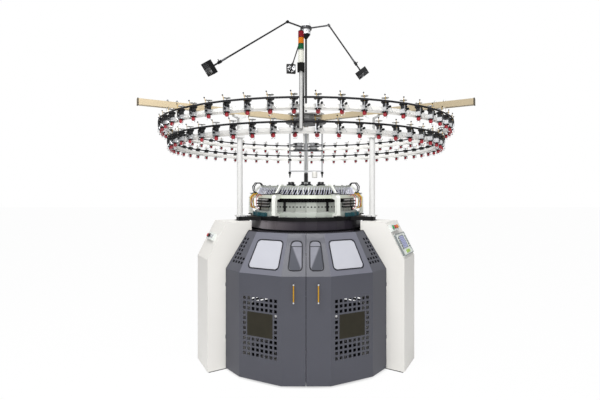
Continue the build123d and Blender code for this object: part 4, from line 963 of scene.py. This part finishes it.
for name, angle, out, height in FANS:
    length = math.hypot(out - ELBOW_OUT, ELBOW_UP - height)
    droop = math.degrees(math.atan2(ELBOW_UP - height, out - ELBOW_OUT))
    matrix = turn_about("Z", angle) @ Matrix.Translation((0, -ELBOW_OUT, ELBOW_UP)) @ turn_about("X", droop)
    grille = []
    for face in (-length - 0.0200, -length + 0.0200):
        for radius in (0.047, 0.036, 0.025, 0.014):
            grille.append(hoop(radius, GRILLE_WIRE, (FAN_X, face, 0), (90, 0), 20, 4))
        for turn in (0, 60, 120):
            x, z = GRILLE_SPOKE * cosine(turn), GRILLE_SPOKE * sine(turn)
            grille.append(bar([(FAN_X - x, face, -z), (FAN_X + x, face, z)], GRILLE_WIRE, 4))
    start = -length + 0.115
    clamp = [
        block(FAN_X - 0.012, FAN_X + 0.012, start - 0.014, start + 0.014, -0.012, 0.012),
        bar([(FAN_X, start, 0.010), (FAN_X, start, 0.026)], 0.004, 6),
        bar([(-0.0125, 0, 0), (0.0125, 0, 0)], 0.0060, 8),
    ]
    collar = bar([(FAN_X, start + 0.020, 0), (FAN_X, start + 0.075, 0)], 0.0082, 8)
    for label, shapes, material in (
            ("grille", grille, bright_wire), ("clamp", clamp, black_paint), ("collars", [collar], graphite)):
        piece(f"fan_{name}_{label}", [moved(shape, matrix) for shape in shapes], material, f"fan_arm_{name}")
piece("fan_hub_screws", around(pin(0, 3.075, 0.0435, 0.0462, 0.005), 6), feeder_black, "fan_hub")
print("fans dressed:", len(FANS))

# %% [markdown]
# ## Studio
# A pale floor that runs into a white backdrop, soft light from above and in front, and the camera at the
# height of the operator's eyes, as in the photograph. The camera sees the floor as white beyond the
# machine's own shadow, and the backdrop as white, while neither lights the machine more for it. Stronger
# lamps would whiten both too, but they would wash out the pale paints.

# %% Floor, light and camera
FLOOR_HALF = 30
SHADOW_REACH, WHITE_REACH = 0.8, 0.92

floor_mesh = bpy.data.meshes.new("floor")
floor_mesh.from_pydata([(x * FLOOR_HALF, y * FLOOR_HALF, 0) for x, y in ((-1, -1), (1, -1), (1, 1), (-1, 1))],
                       [], [(0, 1, 2, 3)])
floor = in_scene("floor", floor_mesh)
floor_paint = bpy.data.materials.new("white studio floor")
floor_paint.use_nodes = True
tree = floor_paint.node_tree
tree.nodes.clear()
mottle = add(tree, "TexNoise", {"Scale": 3.0})
matt = add(tree, "BsdfDiffuse", {"Color": remap(tree, mottle.outputs["Fac"], to_low=0.80, to_high=0.84)})
glow = add(tree, "Emission", {"Color": (1, 1, 1, 1), "Strength": 1.0})
seen = add(tree, "LightPath").outputs["Is Camera Ray"]
where = add(tree, "TexCoord").outputs["Object"]
reach = add(tree, "VectorMath", {0: where}, operation="LENGTH").outputs["Value"]
outside = remap(tree, reach, SHADOW_REACH, WHITE_REACH, to_high=0.97)
mix = add(tree, "MixShader", {"Fac": calc(tree, "MULTIPLY", seen, outside)})
tree.links.new(matt.outputs[0], mix.inputs[1])
tree.links.new(glow.outputs[0], mix.inputs[2])
add(tree, "OutputMaterial", {"Surface": mix.outputs[0]})
floor_mesh.materials.append(floor_paint)

world = bpy.data.worlds.new("white backdrop")
world.use_nodes = True
tree = world.node_tree
tree.nodes.clear()
seen = add(tree, "LightPath").outputs["Is Camera Ray"]
backdrop = add(tree, "Background", {"Color": (1, 1, 1, 1), "Strength": remap(tree, seen, to_low=0.50)})
add(tree, "OutputWorld", {"Surface": backdrop.outputs[0]})
bpy.context.scene.world = world


def soft_light(name, place, target, size, watts):
    """A square studio light that faces a point."""
    data = bpy.data.lights.new(name, "AREA")
    data.size = size
    data.energy = watts
    light = in_scene(name, data)
    light.location = place
    light.rotation_euler = (Vector(target) - Vector(place)).to_track_quat("-Z", "Y").to_euler()


soft_light("overhead light", (-0.6, -2.6, 5.6), (0, -0.3, 1.2), 3.0, 330)
soft_light("front light", (0.8, -6.0, 2.6), (0, 0, 1.2), 3.0, 60)

camera_data = bpy.data.cameras.new("camera")
camera_data.sensor_width = 36
camera_data.lens = 23.1
camera_data.shift_x = -0.010
camera_data.shift_y = -0.0167
camera = in_scene("camera", camera_data)
camera.location = (0, -3.82, 1.51)
camera.rotation_euler = (math.radians(90), 0, 0)
bpy.context.scene.camera = camera
bpy.context.scene.view_settings.view_transform = "Standard"
print("camera height:", camera.location.z)
